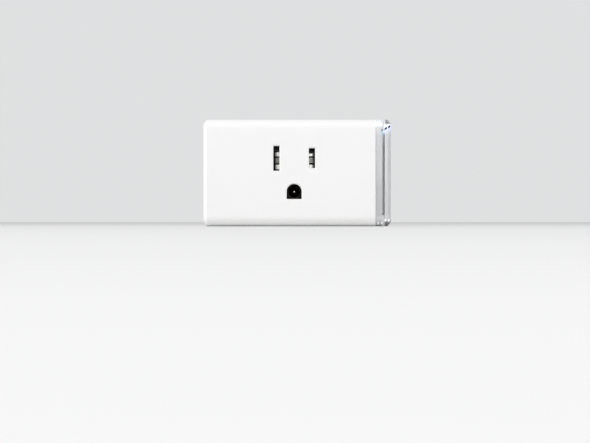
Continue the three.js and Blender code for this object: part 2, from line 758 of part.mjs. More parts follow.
function relayCoil() {
  const z = [BOBBIN_Z[0] + FLANGE_THICKNESS + 0.2, BOBBIN_Z[1] - FLANGE_THICKNESS - 0.2];
  return cut(
    bar("z", COIL_RADIUS, ...z, COIL_X, COIL_Y, ROUND),
    bar("z", BARREL_RADIUS + 0.25, z[0] - 1, z[1] + 1, COIL_X, COIL_Y, ROUND),
  );
}

function relayCore() {
  return join(
    bar("z", CORE_RADIUS, BOBBIN_Z[0] - 0.4, BOBBIN_Z[1] + 0.4, COIL_X, COIL_Y, ROUND),
    bar("z", CORE_HEAD_RADIUS, BOBBIN_Z[1] + 0.2, BOBBIN_Z[1] + 0.8, COIL_X, COIL_Y, ROUND),
  );
}

// The iron frame from under the coil to the armature's pivot, with the common pin.
function relayYoke() {
  const footZ = [BOBBIN_Z[0] - 1.3, BOBBIN_Z[0] - 0.5];
  return join(
    block([COIL_X - 3, YOKE_X[1]], YOKE_Y, footZ),
    block(YOKE_X, YOKE_Y, [footZ[0], ARMATURE_Z[0] - 0.2]),
    block(YOKE_X, [YOKE_Y[1] - 1, BOARD_TAIL], COMMON_PIN_Z),
  );
}

function relayContactSpring() {
  const y = [COIL_Y - 2, COIL_Y + 2];
  const top = ARMATURE_Z[1] + 0.1;
  const bent = join(
    block([COIL_X - 0.6, SPRING_X[1]], y, [top, top + 0.2]),
    block(SPRING_X, y, [CONTACT_Z - 1.8, top + 0.2]),
  );
  return cut(bent, bar("x", RIVET_HOLE_RADIUS, SPRING_X[0] - 1, SPRING_X[1] + 1, COIL_Y, CONTACT_Z));
}

// A contact rivet along X: head on the side given, stem through its plate.
function contactRivet(headX, stemX) {
  return join(
    bar("x", 1.2, ...headX, COIL_Y, CONTACT_Z, ROUND),
    bar("x", 0.45, ...stemX, COIL_Y, CONTACT_Z),
  );
}

function relayFixedTerminal() {
  const plate = join(
    block(FIXED_X, [COIL_Y - 2.2, RELAY_BASE_Y - 0.4], [CONTACT_Z - 1.8, CONTACT_Z + 2]),
    block(FIXED_X, [RELAY_BASE_Y - 1, BOARD_TAIL], FIXED_PIN_Z),
  );
  return cut(plate, bar("x", RIVET_HOLE_RADIUS, FIXED_X[0] - 1, FIXED_X[1] + 1, COIL_Y, CONTACT_Z));
}

addPiece("relay_base", relayBase(), "relayBlack");
addPiece("relay_case", relayCase(), "relayBlack");
addPiece("relay_bobbin", relayBobbin(), "bobbinWhite");
addPiece("relay_coil", relayCoil(), "copperWinding");
addPiece("relay_core", relayCore(), "iron");
addPiece("relay_yoke", relayYoke(), "iron");
addPiece("relay_armature", block(ARMATURE_X, YOKE_Y, ARMATURE_Z), "iron");
addPiece("relay_contact_spring", relayContactSpring(), "springBrass");
addPiece("relay_moving_contact", contactRivet([-17, -16.5], [-17.5, -16.8]), "silver");
addPiece("relay_fixed_contact", contactRivet([-15.9, -15.4], [-15.6, -14.6]), "silver");
addPiece("relay_fixed_terminal", relayFixedTerminal(), "springBrass");
COIL_PINS_Z.forEach((z, i) => {
  const pin = bar("y", RELAY_PIN, -10.9, BOARD_TAIL, COIL_PIN_X, z);
  addPiece(`relay_coil_pin_${i + 1}`, pin, "springBrass");
});

// ---------- Boards ----------

const LEAD_RADIUS = 0.3;
const LEAD_HOLE = LEAD_RADIUS + GAP;

// Two-lead parts: where their leads go through the main board.
const FUSE_LEADS = [
  [-22.6, -12.6],
  [-12.4, -12.6],
];
const INDUCTOR_LEADS = [
  [-7.6, -13],
  [3.6, -13],
];
const VARISTOR_LEADS = [
  [-16.6, 14.2],
  [-11.4, 14.2],
];
const FILM_LEADS = [
  [-4.4, 14.5],
  [5.4, 14.5],
];
const BULK_CAPACITORS = [
  { x: 17.2, z: 6.2, radius: 4, height: 15, leadGap: 1.8 },
  { x: 16.7, z: -4.4, radius: 3.15, height: 11, leadGap: 1.25 },
];
const BULK_LEADS = BULK_CAPACITORS.flatMap(({ x, z, leadGap }) => [
  [x, z - leadGap],
  [x, z + leadGap],
]);
const HEADER_X = 22.4;
const HEADER_PINS_Z = [-6.35, -3.81, -1.27, 1.27, 3.81, 6.35];

// Cut-outs of a sheet lying across Y for the screw posts, blade tails and ground stem.
function boardTools(y, clearance) {
  const through = [y[0] - 1, y[1] + 1];
  const posts = CASE_SCREWS.map(([x, z]) =>
    bar("y", BOSS_RADIUS + clearance, ...through, x, z, ROUND),
  );
  const tails = [-BLADE_X, BLADE_X].map((x) =>
    block(
      [x - BLADE_TAIL_HALF - clearance, x + BLADE_TAIL_HALF + clearance],
      through,
      [TAIL_Z[0] - clearance, TAIL_Z[1] + clearance],
    ),
  );
  return [...posts, ...tails, bar("y", GROUND_STEM_RADIUS + clearance, ...through, 0, GROUND_Z)];
}

function mainBoard() {
  const outline = roundedOutline([-28.8, 25.4], [-14.8, 16.2], 0.6);
  const through = [BOARD_Y[0] - 1, BOARD_Y[1] + 1];
  const leads = [
    ...FUSE_LEADS,
    ...INDUCTOR_LEADS,
    ...VARISTOR_LEADS,
    ...FILM_LEADS,
    ...BULK_LEADS,
    ...HEADER_PINS_Z.map((z) => [HEADER_X, z]),
  ].map(([x, z]) => bar("y", LEAD_HOLE, ...through, x, z, 8));
  const coilPins = COIL_PINS_Z.map((z) => bar("y", RELAY_PIN + GAP, ...through, COIL_PIN_X, z, 8));
  const relayPins = [
    block(widened(YOKE_X), through, widened(COMMON_PIN_Z)),
    block(widened(FIXED_X), through, widened(FIXED_PIN_Z)),
  ];
  const tailX = widened([TAIL_X - SHEET_METAL / 2, TAIL_X + SHEET_METAL / 2]);
  const contactTails = [-1, 1].map((side) => block(mirrored(tailX, side), through, widened(TAIL_Z)));
  const pegHoles = SHROUD_PEGS.map(([x, z]) => bar("y", SHROUD_PEG_RADIUS + GAP, ...through, x, z));
  const screwHoles = BOARD_SCREWS.map(([x, z]) => bar("y", BOARD_SCREW_HOLE_RADIUS, ...through, x, z));
  return cut(
    prism("y", outline, ...BOARD_Y),
    ...boardTools(BOARD_Y, GAP),
    ...leads,
    ...coilPins,
    ...relayPins,
    ...contactTails,
    ...pegHoles,
    ...screwHoles,
  );
}

function insulatingSheet() {
  const standoffs = BOARD_SCREWS.map(([x, z]) =>
    bar("y", STANDOFF_RADIUS + GAP, SHEET_Y[0] - 1, SHEET_Y[1] + 1, x, z),
  );
  const outline = roundedOutline([-28, 24.6], [-14.2, 15.6], 1);
  return cut(prism("y", outline, ...SHEET_Y), ...boardTools(SHEET_Y, 0.5), ...standoffs);
}

// The upright board: a wide part under the front and a narrow tongue down to the header.
function controlBoard() {
  return join(
    block(CONTROL_X, [-29.5, LIP_Y - GAP], [-14.6, 17.2]),
    block(CONTROL_X, [LIP_Y - 1, BOARD_FACE - 0.1], [-8, 8]),
  );
}

function boardHeader() {
  const strip = block([HEADER_X - 0.8, CONTROL_X[0] - 0.1], [-9.9, BOARD_FACE], [-7.7, 7.7]);
  const pins = HEADER_PINS_Z.map((z) =>
    block(
      [HEADER_X - LEAD_RADIUS, HEADER_X + LEAD_RADIUS],
      [-10.8, BOARD_TAIL],
      [z - LEAD_RADIUS, z + LEAD_RADIUS],
    ),
  );
  return join(strip, ...pins);
}

addPiece("main_board", mainBoard(), "boardGreen");
addPiece("insulating_sheet", insulatingSheet(), "sheetFilm");
addPiece("control_board", controlBoard(), "boardBlack");
addPiece("board_header", boardHeader(), "blackPlastic");

// ---------- Components on the main board ----------

function lead([x, z], from) {
  return bar("y", LEAD_RADIUS, from, BOARD_TAIL, x, z, 8);
}

// A body lying along X with its leads bent down through the board.
function axialPart(radius, bodyX, leads) {
  const z = leads[0][1];
  const y = BOARD_FACE - radius;
  return join(
    bar("x", radius, ...bodyX, y, z, SMALL_ROUND),
    bar("x", LEAD_RADIUS, leads[0][0] - LEAD_RADIUS, leads[1][0] + LEAD_RADIUS, y, z, 8),
    ...leads.map((place) => lead(place, y)),
  );
}

function varistor() {
  const y = BOARD_FACE - 5.6;
  const disc = bar("z", 4.5, 12.8, 15.6, -14, y, ROUND);
  return join(disc, ...VARISTOR_LEADS.map((place) => lead(place, y)));
}

function suppressionCapacitor() {
  const body = prism("y", roundedOutline([-6, 7], [12.7, 16.2], 0.4), -17.6, BOARD_FACE);
  return join(body, ...FILM_LEADS.map((place) => lead(place, BOARD_FACE - 1)));
}

// A can with a pinched neck near its seal.
function bulkCapacitor({ x, z, radius, height, leadGap }) {
  const base = BOARD_FACE;
  const profile = [
    [0, base - height],
    [radius - 0.4, base - height],
    [radius, base - height + 0.4],
    [radius, base - 2.6],
    [radius - 0.35, base - 2.1],
    [radius, base - 1.6],
    [radius, base],
    [0, base],
  ];
  const leads = [z - leadGap, z + leadGap].map((place) => lead([x, place], base - 1));
  return join(turnedAlongY(profile, x, z), ...leads);
}

const LEG_REACH = 0.8;
const LEG_HALF = 0.25;
const LEG_Y = [BOARD_FACE - 0.25, BOARD_FACE + 0.2];

// A chip body with bent legs on its two sides; the legs run along X.
function chip(x, z, depth, lowLegsZ, highLegsZ = lowLegsZ) {
  const middle = (x[0] + x[1]) / 2;
  const leg = (legX, legZ) => block(legX, LEG_Y, [legZ - LEG_HALF, legZ + LEG_HALF]);
  return join(
    block(x, [LEG_Y[1] - depth, LEG_Y[1] - 0.15], z),
    ...lowLegsZ.map((legZ) => leg([x[0] - LEG_REACH, middle], legZ)),
    ...highLegsZ.map((legZ) => leg([middle, x[1] + LEG_REACH], legZ)),
  );
}

// A two-terminal diode lying along X, its terminals wrapped under its ends.
function flybackDiode() {
  const x = [-25, -22.4];
  const z = [10.1, 11.7];
  const terminal = [z[0] + 0.3, z[1] - 0.3];
  return join(
    block(x, [LEG_Y[1] - 1.2, LEG_Y[1] - 0.15], z),
    block([x[0] - 0.5, x[1] + 0.5], LEG_Y, terminal),
  );
}

addPiece("fuse_resistor", axialPart(1.5, [-21, -14], FUSE_LEADS), "resistorBody");
addPiece("filter_inductor", axialPart(1.6, [-6, 2], INDUCTOR_LEADS), "ferrite");
addPiece("varistor", varistor(), "varistorBlue");
addPiece("suppression_capacitor", suppressionCapacitor(), "filmYellow");
BULK_CAPACITORS.forEach((capacitor, i) => {
  addPiece(`bulk_capacitor_${i + 1}`, bulkCapacitor(capacitor), "capacitorSleeve");
});
addPiece("bridge_rectifier", chip([10.6, 15], [12.9, 15.9], 1.7, [13.5, 15.3]), "chipBlack");
addPiece("driver_chip", chip([13.4, 16.2], [-13.6, -9.4], 1.5, [-12.8, -11.8, -10.8, -10]), "chipBlack");
const regulator = chip([20.6, 22.6], [-11, -8.2], 1.5, [-10.4, -9.6, -8.8], [-9.6]);
addPiece("voltage_regulator", regulator, "chipBlack");
addPiece("relay_transistor", chip([-17.7, -16.4], [9.8, 12.6], 1.1, [10.3, 12.1], [11.2]), "chipBlack");
addPiece("flyback_diode", flybackDiode(), "chipBlack");

// ---------- Control board parts ----------

const SHIELD_WALL = 0.3;

function rfShield() {
  const x = [20.9, CONTROL_X[0] - 0.1];
  const y = [-27, -13.5];
  const z = [-11, 1.8];
  const inside = block(
    [x[0] + SHIELD_WALL, x[1] + 1],
    [y[0] + SHIELD_WALL, y[1] - SHIELD_WALL],
    [z[0] + SHIELD_WALL, z[1] - SHIELD_WALL],
  );
  return cut(block(x, y, z), inside);
}

const CONTROL_FACE = CONTROL_X[0] - 0.1;

// The radio's processor and its crystal, both inside the shield on the control board.
addPiece("wifi_chip", block([CONTROL_FACE - 0.9, CONTROL_FACE], [-22.5, -17.5], [-7, -2]), "chipBlack");
addPiece("crystal", block([CONTROL_FACE - 0.7, CONTROL_FACE], [-25.7, -23.2], [-5.6, -3.4]), "nickel");

const SWITCH_HALF = 3.1;
const SWITCH_WELL_RADIUS = 2.6;
const SWITCH_WELL_FLOOR_X = CONTROL_X[1] + 0.35;
const DOME_RADIUS = 2.3;
const DOME_HEIGHT = 0.26;
const DOME_THICKNESS = 0.1;
const SWITCH_Y = [STEM_Y - SWITCH_HALF, STEM_Y + SWITCH_HALF];
const SWITCH_Z = [STEM_Z - SWITCH_HALF, STEM_Z + SWITCH_HALF];
const SWITCH_BODY_X = [CONTROL_X[1] + 0.1, 26.2];
const SWITCH_COVER_X = [26.3, 26.6];

function switchBody() {
  const wellX = [SWITCH_WELL_FLOOR_X, SWITCH_BODY_X[1] + 1];
  const well = bar("x", SWITCH_WELL_RADIUS, ...wellX, STEM_Y, STEM_Z, ROUND);
  return cut(block(SWITCH_BODY_X, SWITCH_Y, SWITCH_Z), well);
}

// The snap dome on the well's floor: a shallow metal cap, its crown towards the plunger.
function switchDome() {
  const rim = 0.04;
  const steps = [0, 1, 2, 3];
  const cap = (lift) =>
    steps.map((step) => {
      const radius = (DOME_RADIUS * step) / 3;
      return new THREE.Vector2(radius, lift + DOME_HEIGHT * (1 - (step / 3) ** 2));
    });
  const profile = [...cap(rim), ...cap(rim + DOME_THICKNESS).reverse()];
  const dome = new THREE.LatheGeometry(profile, SMALL_ROUND).rotateZ(-Math.PI / 2);
  return dome.translate(SWITCH_WELL_FLOOR_X, STEM_Y, STEM_Z);
}

function switchCover() {
  const plate = block(SWITCH_COVER_X, SWITCH_Y, SWITCH_Z);
  return cut(plate, bar("x", 2, SWITCH_COVER_X[0] - 1, SWITCH_COVER_X[1] + 1, STEM_Y, STEM_Z, ROUND));
}

function switchPlunger() {
  return join(
    bar("x", 2.3, 25.5, 26.1, STEM_Y, STEM_Z, ROUND),
    bar("x", 1.7, 26, PLUNGER_END_X, STEM_Y, STEM_Z, ROUND),
  );
}

function statusLed() {
  const base = block([CONTROL_X[1] + 0.1, 25], [LED_Y - 1.6, LED_Y + 1.6], [LED_Z - 0.8, LED_Z + 0.8]);
  const lens = block([24.9, 26.1], [LED_Y - 1, LED_Y + 1], [LED_Z - 0.7, LED_Z + 0.7]);
  return join(base, lens);
}

addPiece("rf_shield", rfShield(), "nickel");
addPiece("switch_body", switchBody(), "blackPlastic");
addPiece("switch_dome", switchDome(), "springBrass");
addPiece("switch_cover", switchCover(), "nickel");
addPiece("switch_plunger", switchPlunger(), "blackPlastic");
addPiece("status_led", statusLed(), "ledBody");

// ---------- Screws ----------

// A screw along Y: its head faces +Y or -Y and has a cross recess.
function screw({ x, z, headY, facing, headRadius, headDepth, shankRadius, length }) {
  const shankEnd = headY - facing * (headDepth + length);
  const headSpan = [headY, headY - facing * headDepth].sort((a, b) => a - b);
  const shankSpan = [headY - facing * (headDepth - 0.2), shankEnd].sort((a, b) => a - b);
  const recessSpan = [headY - facing * headDepth * 0.55, headY + facing].sort((a, b) => a - b);
  const arm = headRadius * 0.62;
  const slit = headRadius * 0.16;
  return cut(
    join(bar("y", headRadius, ...headSpan, x, z, ROUND), bar("y", shankRadius, ...shankSpan, x, z)),
    block([x - arm, x + arm], recessSpan, [z - slit, z + slit]),
    block([x - slit, x + slit], recessSpan, [z - arm, z + arm]),
  );
}

CASE_SCREWS.forEach(([x, z], i) => {
  const place = { x, z, headY: REAR_Y - SCREW_RECESS, facing: 1 };
  addPiece(`case_screw_${i + 1}`, screw({ ...place, ...CASE_SCREW }), "screwSteel");
});
BOARD_SCREWS.forEach(([x, z], i) => {
  const place = { x, z, headY: BOARD_Y[0] - 1, facing: -1 };
  addPiece(`board_screw_${i + 1}`, screw({ ...place, ...BOARD_SCREW }), "screwSteel");
});

export default plug;
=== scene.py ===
"""Smart plug: the looks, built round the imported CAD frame. Lengths below are in millimetres."""
import math

import bmesh
import bpy
from mathutils import Matrix, Vector


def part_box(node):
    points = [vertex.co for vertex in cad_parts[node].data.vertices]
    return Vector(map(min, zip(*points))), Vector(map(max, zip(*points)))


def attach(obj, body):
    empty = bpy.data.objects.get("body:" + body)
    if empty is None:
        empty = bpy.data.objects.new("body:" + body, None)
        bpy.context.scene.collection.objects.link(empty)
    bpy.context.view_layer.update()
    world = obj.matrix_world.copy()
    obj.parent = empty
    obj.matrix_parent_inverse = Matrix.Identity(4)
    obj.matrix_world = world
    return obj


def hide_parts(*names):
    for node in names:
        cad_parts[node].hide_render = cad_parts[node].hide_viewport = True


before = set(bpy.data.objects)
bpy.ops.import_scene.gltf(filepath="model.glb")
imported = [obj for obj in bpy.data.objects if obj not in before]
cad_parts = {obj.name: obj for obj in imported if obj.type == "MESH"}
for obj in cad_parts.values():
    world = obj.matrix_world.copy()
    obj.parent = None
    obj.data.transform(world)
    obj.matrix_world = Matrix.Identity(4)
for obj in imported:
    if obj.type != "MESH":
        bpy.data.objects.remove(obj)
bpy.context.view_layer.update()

MM = 0.001
SCENE = bpy.context.scene


# ---------- Sizes taken from the frame ----------


def corners(node):
    """The lowest and highest corner of a CAD node, in millimetres."""
    low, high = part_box(node)
    return low / MM, high / MM


COVER_LOW, COVER_HIGH = corners("front_cover")
REAR_HIGH = corners("rear_cover")[1]
GUIDE_LOW = corners("side_light_guide")[0]
BUTTON_LOW, BUTTON_HIGH = corners("power_button")
CARRIER_LOW = corners("button_carrier")[0]
BLADE_LOW, BLADE_HIGH = corners("line_blade")
PIN_LOW, PIN_HIGH = corners("ground_pin")

LEFT = COVER_LOW.x
FRONT = COVER_LOW.y
REAR = REAR_HIGH.y
BOTTOM = COVER_LOW.z
TOP = COVER_HIGH.z
SHELL_END = COVER_HIGH.x
RIGHT = BUTTON_HIGH.x
SPLIT_FRONT = COVER_HIGH.y

# ---------- Sizes that the CAD part shares ----------

FRONT_RADIUS = 3.5
REAR_RADIUS = 1.5
END_CHAMFER = 1.2
WALL = 2.0
FRONT_WALL = 2.4
END_WALL = 1.9
INNER_REAR = -2.4
GAP = 0.3
BLADE_X = 6.35
BLADE_Z = 5.945
GROUND_Z = -5.945
BLADE_THICKNESS = 1.52
BLADE_WIDTH = 6.35
SLOT_WIDTH = 2.2
NEUTRAL_SLOT = (1.45, 10.3)
LINE_SLOT = (2.4, 9.5)
GROUND_HOLE_RADIUS = 2.675
GROUND_HOLE_FLOOR = 2.72
LEAD_IN = 0.4
GUIDE_X = (29.2, 31.5)
GUIDE_INSET = 3.8
CARRIER_X = (29.6, 32.2)
CARRIER_INSET = 4.1
STEM_Y, STEM_Z = -17.0, 0.7
LED_Y = -24.0
LIGHT_PIPE_Z = 17.3
PEGS = ((-32, 9), (-32, -7.6), (-2, 0.7))
CASE_SCREWS = ((-28.0, 15.4), (-28.0, -14.0), (19.6, 15.4), (19.6, -14.0))
BOARD_SCREWS = ((-20.6, 13.6), (9.4, -13.0))

SPLIT_REAR = SPLIT_FRONT + GAP
INNER_X = (LEFT + WALL, SHELL_END - END_WALL)
INNER_Z = (BOTTOM + WALL, TOP - WALL)
INNER_FRONT = FRONT + FRONT_WALL

ARC_STEPS = 14
ROUND = 48
SAME_POINT = 1e-5
WELD_DISTANCE = 0.001
OVERLAP = 1

# ---------- Mesh tools ----------


def place(axis, u, v, w):
    """A point from its two section coordinates and its place along the axis."""
    return {"x": Vector((w, u, v)), "y": Vector((u, w, v)), "z": Vector((u, v, w))}[axis]


def arc(centre, radius, start, end, steps=ARC_STEPS):
    """Points on an arc, with its angles in degrees."""
    angles = [math.radians(start + (end - start) * i / steps) for i in range(steps + 1)]
    return [(centre[0] + radius * math.cos(a), centre[1] + radius * math.sin(a)) for a in angles]


def rounded(u, v, low_radius, high_radius=None):
    """A rectangle outline with one radius at its low-u corners and another at its high-u corners."""
    low = low_radius
    high = low_radius if high_radius is None else high_radius
    turns = (
        ((u[1] - high, v[0] + high), high, -90),
        ((u[1] - high, v[1] - high), high, 0),
        ((u[0] + low, v[1] - low), low, 90),
        ((u[0] + low, v[0] + low), low, 180),
    )
    return [point for centre, radius, start in turns for point in arc(centre, radius, start, start + 90)]


def circle(centre, radius, steps=ROUND):
    return arc(centre, radius, 0, 360, steps)[:-1]


def rectangle(u, v):
    return [(u[0], v[0]), (u[1], v[0]), (u[1], v[1]), (u[0], v[1])]


def bent(points, radius, steps=10):
    """A route along straight stretches with a round bend at each corner."""
    route = [Vector(points[0])]
    for before, corner, after in zip(points, points[1:], points[2:]):
        corner = Vector(corner)
        back = (Vector(before) - corner).normalized()
        ahead = (Vector(after) - corner).normalized()
        half = back.angle(ahead) / 2
        centre = corner + (back + ahead).normalized() * radius / math.sin(half)
        first, last = (corner + way * radius / math.tan(half) - centre for way in (back, ahead))
        for i in range(steps + 1):
            route.append(centre + first.lerp(last, i / steps).normalized() * radius)
    return route + [Vector(points[-1])]


def strip(route, thickness):
    """The outline of a sheet of even thickness along a route."""
    sides = ([], [])
    for i, point in enumerate(route):
        before, after = route[max(i - 1, 0)], route[min(i + 1, len(route) - 1)]
        along = (after - before).normalized()
        for side, sign in zip(sides, (1, -1)):
            shift = sign * thickness / 2
            side.append((point.x - along.y * shift, point.y + along.x * shift))
    return sides[0] + sides[1][::-1]


def mirrored(span, side):
    return span if side > 0 else (-span[1], -span[0])


def about(middle, half):
    """The span that reaches half to each side of a middle."""
    return middle - half, middle + half


def widened(span, by):
    """A span with each end moved outwards."""
    return span[0] - by, span[1] + by


def linked(name, data):
    """A new object in the scene."""
    made = bpy.data.objects.new(name, data)
    SCENE.collection.objects.link(made)
    return made


def finished(name, mesh_builder):
    """Turns a bmesh in millimetres into a linked object in metres."""
    bmesh.ops.remove_doubles(mesh_builder, verts=mesh_builder.verts, dist=SAME_POINT)
    bmesh.ops.recalc_face_normals(mesh_builder, faces=mesh_builder.faces)
    mesh_builder.transform(Matrix.Scale(MM, 4))
    mesh = bpy.data.meshes.new(name)
    mesh_builder.to_mesh(mesh)
    mesh_builder.free()
    return linked(name, mesh)


def loft(name, rings):
    """A closed solid through rings of matching points."""
    builder = bmesh.new()
    loops = [[builder.verts.new(point) for point in ring] for ring in rings]
    count = len(rings[0])
    for low, high in zip(loops, loops[1:]):
        for i in range(count):
            after = (i + 1) % count
            builder.faces.new((low[i], low[after], high[after], high[i]))
    builder.faces.new(list(reversed(loops[0])))
    builder.faces.new(loops[-1])
    return finished(name, builder)


def prism(name, axis, outline, start, end):
    return loft(name, [[place(axis, u, v, w) for u, v in outline] for w in (start, end)])


def block(name, x, y, z):
    return prism(name, "z", rectangle(x, y), *z)


def bar(name, axis, radius, start, end, centre, steps=ROUND):
    return prism(name, axis, circle(centre, radius, steps), start, end)


def bars(name, axis, radius, start, end, centres, steps=ROUND):
    """The same bar at each of several centres."""
    return [bar(name, axis, radius, start, end, centre, steps) for centre in centres]


def turned(name, axis, profile, centre, steps=ROUND):
    """A turned solid from (radius, place along the axis) points that start and end on the axis."""
    builder = bmesh.new()
    rows = []
    for radius, w in profile:
        ring = [centre] if radius == 0 else circle(centre, radius, steps)
        rows.append([builder.verts.new(place(axis, u, v, w)) for u, v in ring])
    for low, high in zip(rows, rows[1:]):
        for i in range(steps):
            after = (i + 1) % steps
            around = [row[j % len(row)] for row, j in ((low, i), (low, after), (high, after), (high, i))]
            builder.faces.new(list(dict.fromkeys(around)))
    return finished(name, builder)

def settle(piece):
    """Replaces a piece's mesh with its result after modifiers."""
    view = bpy.context.evaluated_depsgraph_get()
    mesh = bpy.data.meshes.new_from_object(piece.evaluated_get(view))
    piece.modifiers.clear()
    piece.data = mesh


def combine(piece, tools, operation):
    for tool in tools:
        step = piece.modifiers.new(operation, "BOOLEAN")
        step.operation = operation
        step.solver = "EXACT"
        step.object = tool
    settle(piece)
    for tool in tools:
        bpy.data.objects.remove(tool)
    return piece


def cut(piece, *tools):
    return combine(piece, tools, "DIFFERENCE")


def join(piece, *others):
    return combine(piece, others, "UNION")


def shade(piece, angle=32):
    """Smooth shading, broken at the piece's hard edges."""
    for face in piece.data.polygons:
        face.use_smooth = True
    piece.data.set_sharp_from_angle(angle=math.radians(angle))


def soften(piece, width, segments=3, angle=28):
    """Rounds the piece's hard edges and shades it smooth."""
    for face in piece.data.polygons:
        face.use_smooth = True
    edge = piece.modifiers.new("soft_edges", "BEVEL")
    edge.width = width * MM
    edge.segments = segments
    edge.limit_method = "ANGLE"
    edge.angle_limit = math.radians(angle)
    edge.harden_normals = True
    edge.use_clamp_overlap = True
    edge.miter_outer = "MITER_ARC"
    return piece


def refine_cad(node, width, segments=2):
    """A CAD node with its triangles merged into whole faces and its hard edges rounded."""
    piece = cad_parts[node]
    weld = piece.modifiers.new("merge", "WELD")
    weld.merge_threshold = WELD_DISTANCE * MM
    flat = piece.modifiers.new("whole_faces", "DECIMATE")
    flat.decimate_type = "DISSOLVE"
    flat.angle_limit = math.radians(1)
    return soften(piece, width, segments)


# ---------- Materials ----------

# The Mix node's colour sockets share their names with others, so they go by their places.
MIX_FACTOR, MIX_FIRST, MIX_SECOND, MIX_RESULT = 0, 6, 7, 2


class Finish:
    """A procedural material: a Principled shader with helpers for its patterns."""

    def __init__(self, name, colour, roughness, metallic=0.0):
        self.material = bpy.data.materials.new(name)
        self.material.use_nodes = True
        self.nodes = self.material.node_tree.nodes
        self.links = self.material.node_tree.links
        self.shader = self.nodes["Principled BSDF"]
        self.set("Base Color", (*colour, 1))
        self.set("Roughness", roughness)
        self.set("Metallic", metallic)
        self.coordinates = self.nodes.new("ShaderNodeTexCoord").outputs
        self.place = self.coordinates["Object"]

    def set(self, socket, value):
        self.shader.inputs[socket].default_value = value

    def drive(self, socket, output):
        self.links.new(output, self.shader.inputs[socket])

    def stretched(self, scale):
        mapping = self.nodes.new("ShaderNodeMapping")
        mapping.inputs["Scale"].default_value = scale
        self.links.new(self.place, mapping.inputs["Vector"])
        return mapping.outputs["Vector"]

    def noise(self, size, detail, stretch=(1, 1, 1)):
        """Noise whose features are about the given number of millimetres across."""
        texture = self.nodes.new("ShaderNodeTexNoise")
        texture.inputs["Scale"].default_value = 1 / (size * MM)
        texture.inputs["Detail"].default_value = detail
        self.links.new(self.stretched(stretch), texture.inputs["Vector"])
        return texture.outputs["Fac"]

    def spread(self, factor, low, high, start=0.3, end=0.7):
        """Maps a pattern onto a range of values."""
        remap = self.nodes.new("ShaderNodeMapRange")
        limits = {"From Min": start, "From Max": end, "To Min": low, "To Max": high}
        for socket, value in limits.items():
            remap.inputs[socket].default_value = value
        self.links.new(factor, remap.inputs["Value"])
        return remap.outputs["Result"]

    def tint(self, factor, low, high, start=0.35, end=0.65):
        """Maps a pattern onto a pair of colours."""
        ramp = self.nodes.new("ShaderNodeValToRGB")
        ramp.color_ramp.elements[0].color = (*low, 1)
        ramp.color_ramp.elements[1].color = (*high, 1)
        self.links.new(self.spread(factor, 0, 1, start, end), ramp.inputs["Fac"])
        return ramp.outputs["Color"]

    def relief(self, factor, height, strength):
        """Bump from a pattern, with its height in millimetres."""
        bump = self.nodes.new("ShaderNodeBump")
        bump.inputs["Distance"].default_value = height * MM
        bump.inputs["Strength"].default_value = strength
        self.links.new(factor, bump.inputs["Height"])
        self.links.new(bump.outputs["Normal"], self.shader.inputs["Normal"])

    def grained(self, colours, colour_noise, gloss, gloss_noise, height, height_noise, strength):
        """Small wanders in colour and gloss over a fine relief; each noise is its size and detail."""
        self.drive("Base Color", self.tint(self.noise(*colour_noise), *colours))
        self.drive("Roughness", self.spread(self.noise(*gloss_noise), *gloss))
        self.relief(self.noise(*height_noise), height, strength)
        return self.material

    def brushed(self, low, high, along):
        """Gloss and relief in fine marks along the metal's drawing direction."""
        self.drive("Roughness", self.spread(self.noise(0.25, 3, along), low, high))
        self.relief(self.noise(0.12, 2, along), 0.004, 0.4)
        return self.material

    def axes(self, vector):
        """The X, Y and Z of a vector."""
        apart = self.nodes.new("ShaderNodeSeparateXYZ")
        self.links.new(vector, apart.inputs["Vector"])
        return [apart.outputs[axis] for axis in "XYZ"]

    def calculate(self, operation, *values):
        """One arithmetic step on a pattern, its operands numbers or outputs."""
        step = self.nodes.new("ShaderNodeMath")
        step.operation = operation
        for socket, value in zip(step.inputs, values):
            if isinstance(value, (int, float)):
                socket.default_value = value
            else:
                self.links.new(value, socket)
        return step.outputs["Value"]

    def product(self, first, *factors):
        """Several patterns multiplied together."""
        for factor in factors:
            first = self.calculate("MULTIPLY", first, factor)
        return first

    def across(self, distance, low, high, span):
        """Goes from low to high as a distance crosses a span, which is in millimetres."""
        return self.spread(distance, low, high, span[0] * MM, span[1] * MM)

    def away(self, coordinate, centre):
        """The distance of a coordinate from a centre, which is in millimetres."""
        return self.calculate("ABSOLUTE", self.calculate("SUBTRACT", coordinate, centre * MM))

    def beat(self, coordinate, centre, spacing):
        """A wave that peaks at a centre and again at each spacing from it, both in millimetres."""
        turns = self.calculate("MULTIPLY", coordinate, math.tau / (spacing * MM))
        return self.calculate("COSINE", self.calculate("SUBTRACT", turns, math.tau * centre / spacing))

    def blended(self, factor, first, second):
        """A pattern's mix of a driven colour and a fixed one."""
        mix = self.nodes.new("ShaderNodeMix")
        mix.data_type = "RGBA"
        self.links.new(factor, mix.inputs[MIX_FACTOR])
        self.links.new(first, mix.inputs[MIX_FIRST])
        mix.inputs[MIX_SECOND].default_value = (*second, 1)
        return mix.outputs[MIX_RESULT]


def moulded_white():
    """Satin white plastic with a small wander in tone, and a painted highlight that makes the chamfers
    facing half sideways a little brighter.
    """
    finish = Finish("moulded_white", (0.86, 0.86, 0.85), 0.4)
    normal_x, normal_y = finish.axes(finish.coordinates["Normal"])[:2]
    slant = finish.calculate("ABSOLUTE", finish.product(normal_x, normal_y))
    # Painted highlight: faces whose normal points half sideways get a lighter base colour.
    chamfer = finish.spread(slant, 0, 0.9, 0.25, 0.45)
    tone_and_chamfer_highlight = finish.calculate("MULTIPLY_ADD", finish.noise(14, 2), 0.1, chamfer)
    finish.drive("Base Color", finish.tint(tone_and_chamfer_highlight, (0.855, 0.855, 0.848), (0.97, 0.97, 0.965), 0, 1))
    finish.drive("Roughness", finish.spread(finish.noise(2.5, 3), 0.37, 0.45))
    finish.relief(finish.noise(0.16, 3), 0.012, 0.35)
    return finish.material


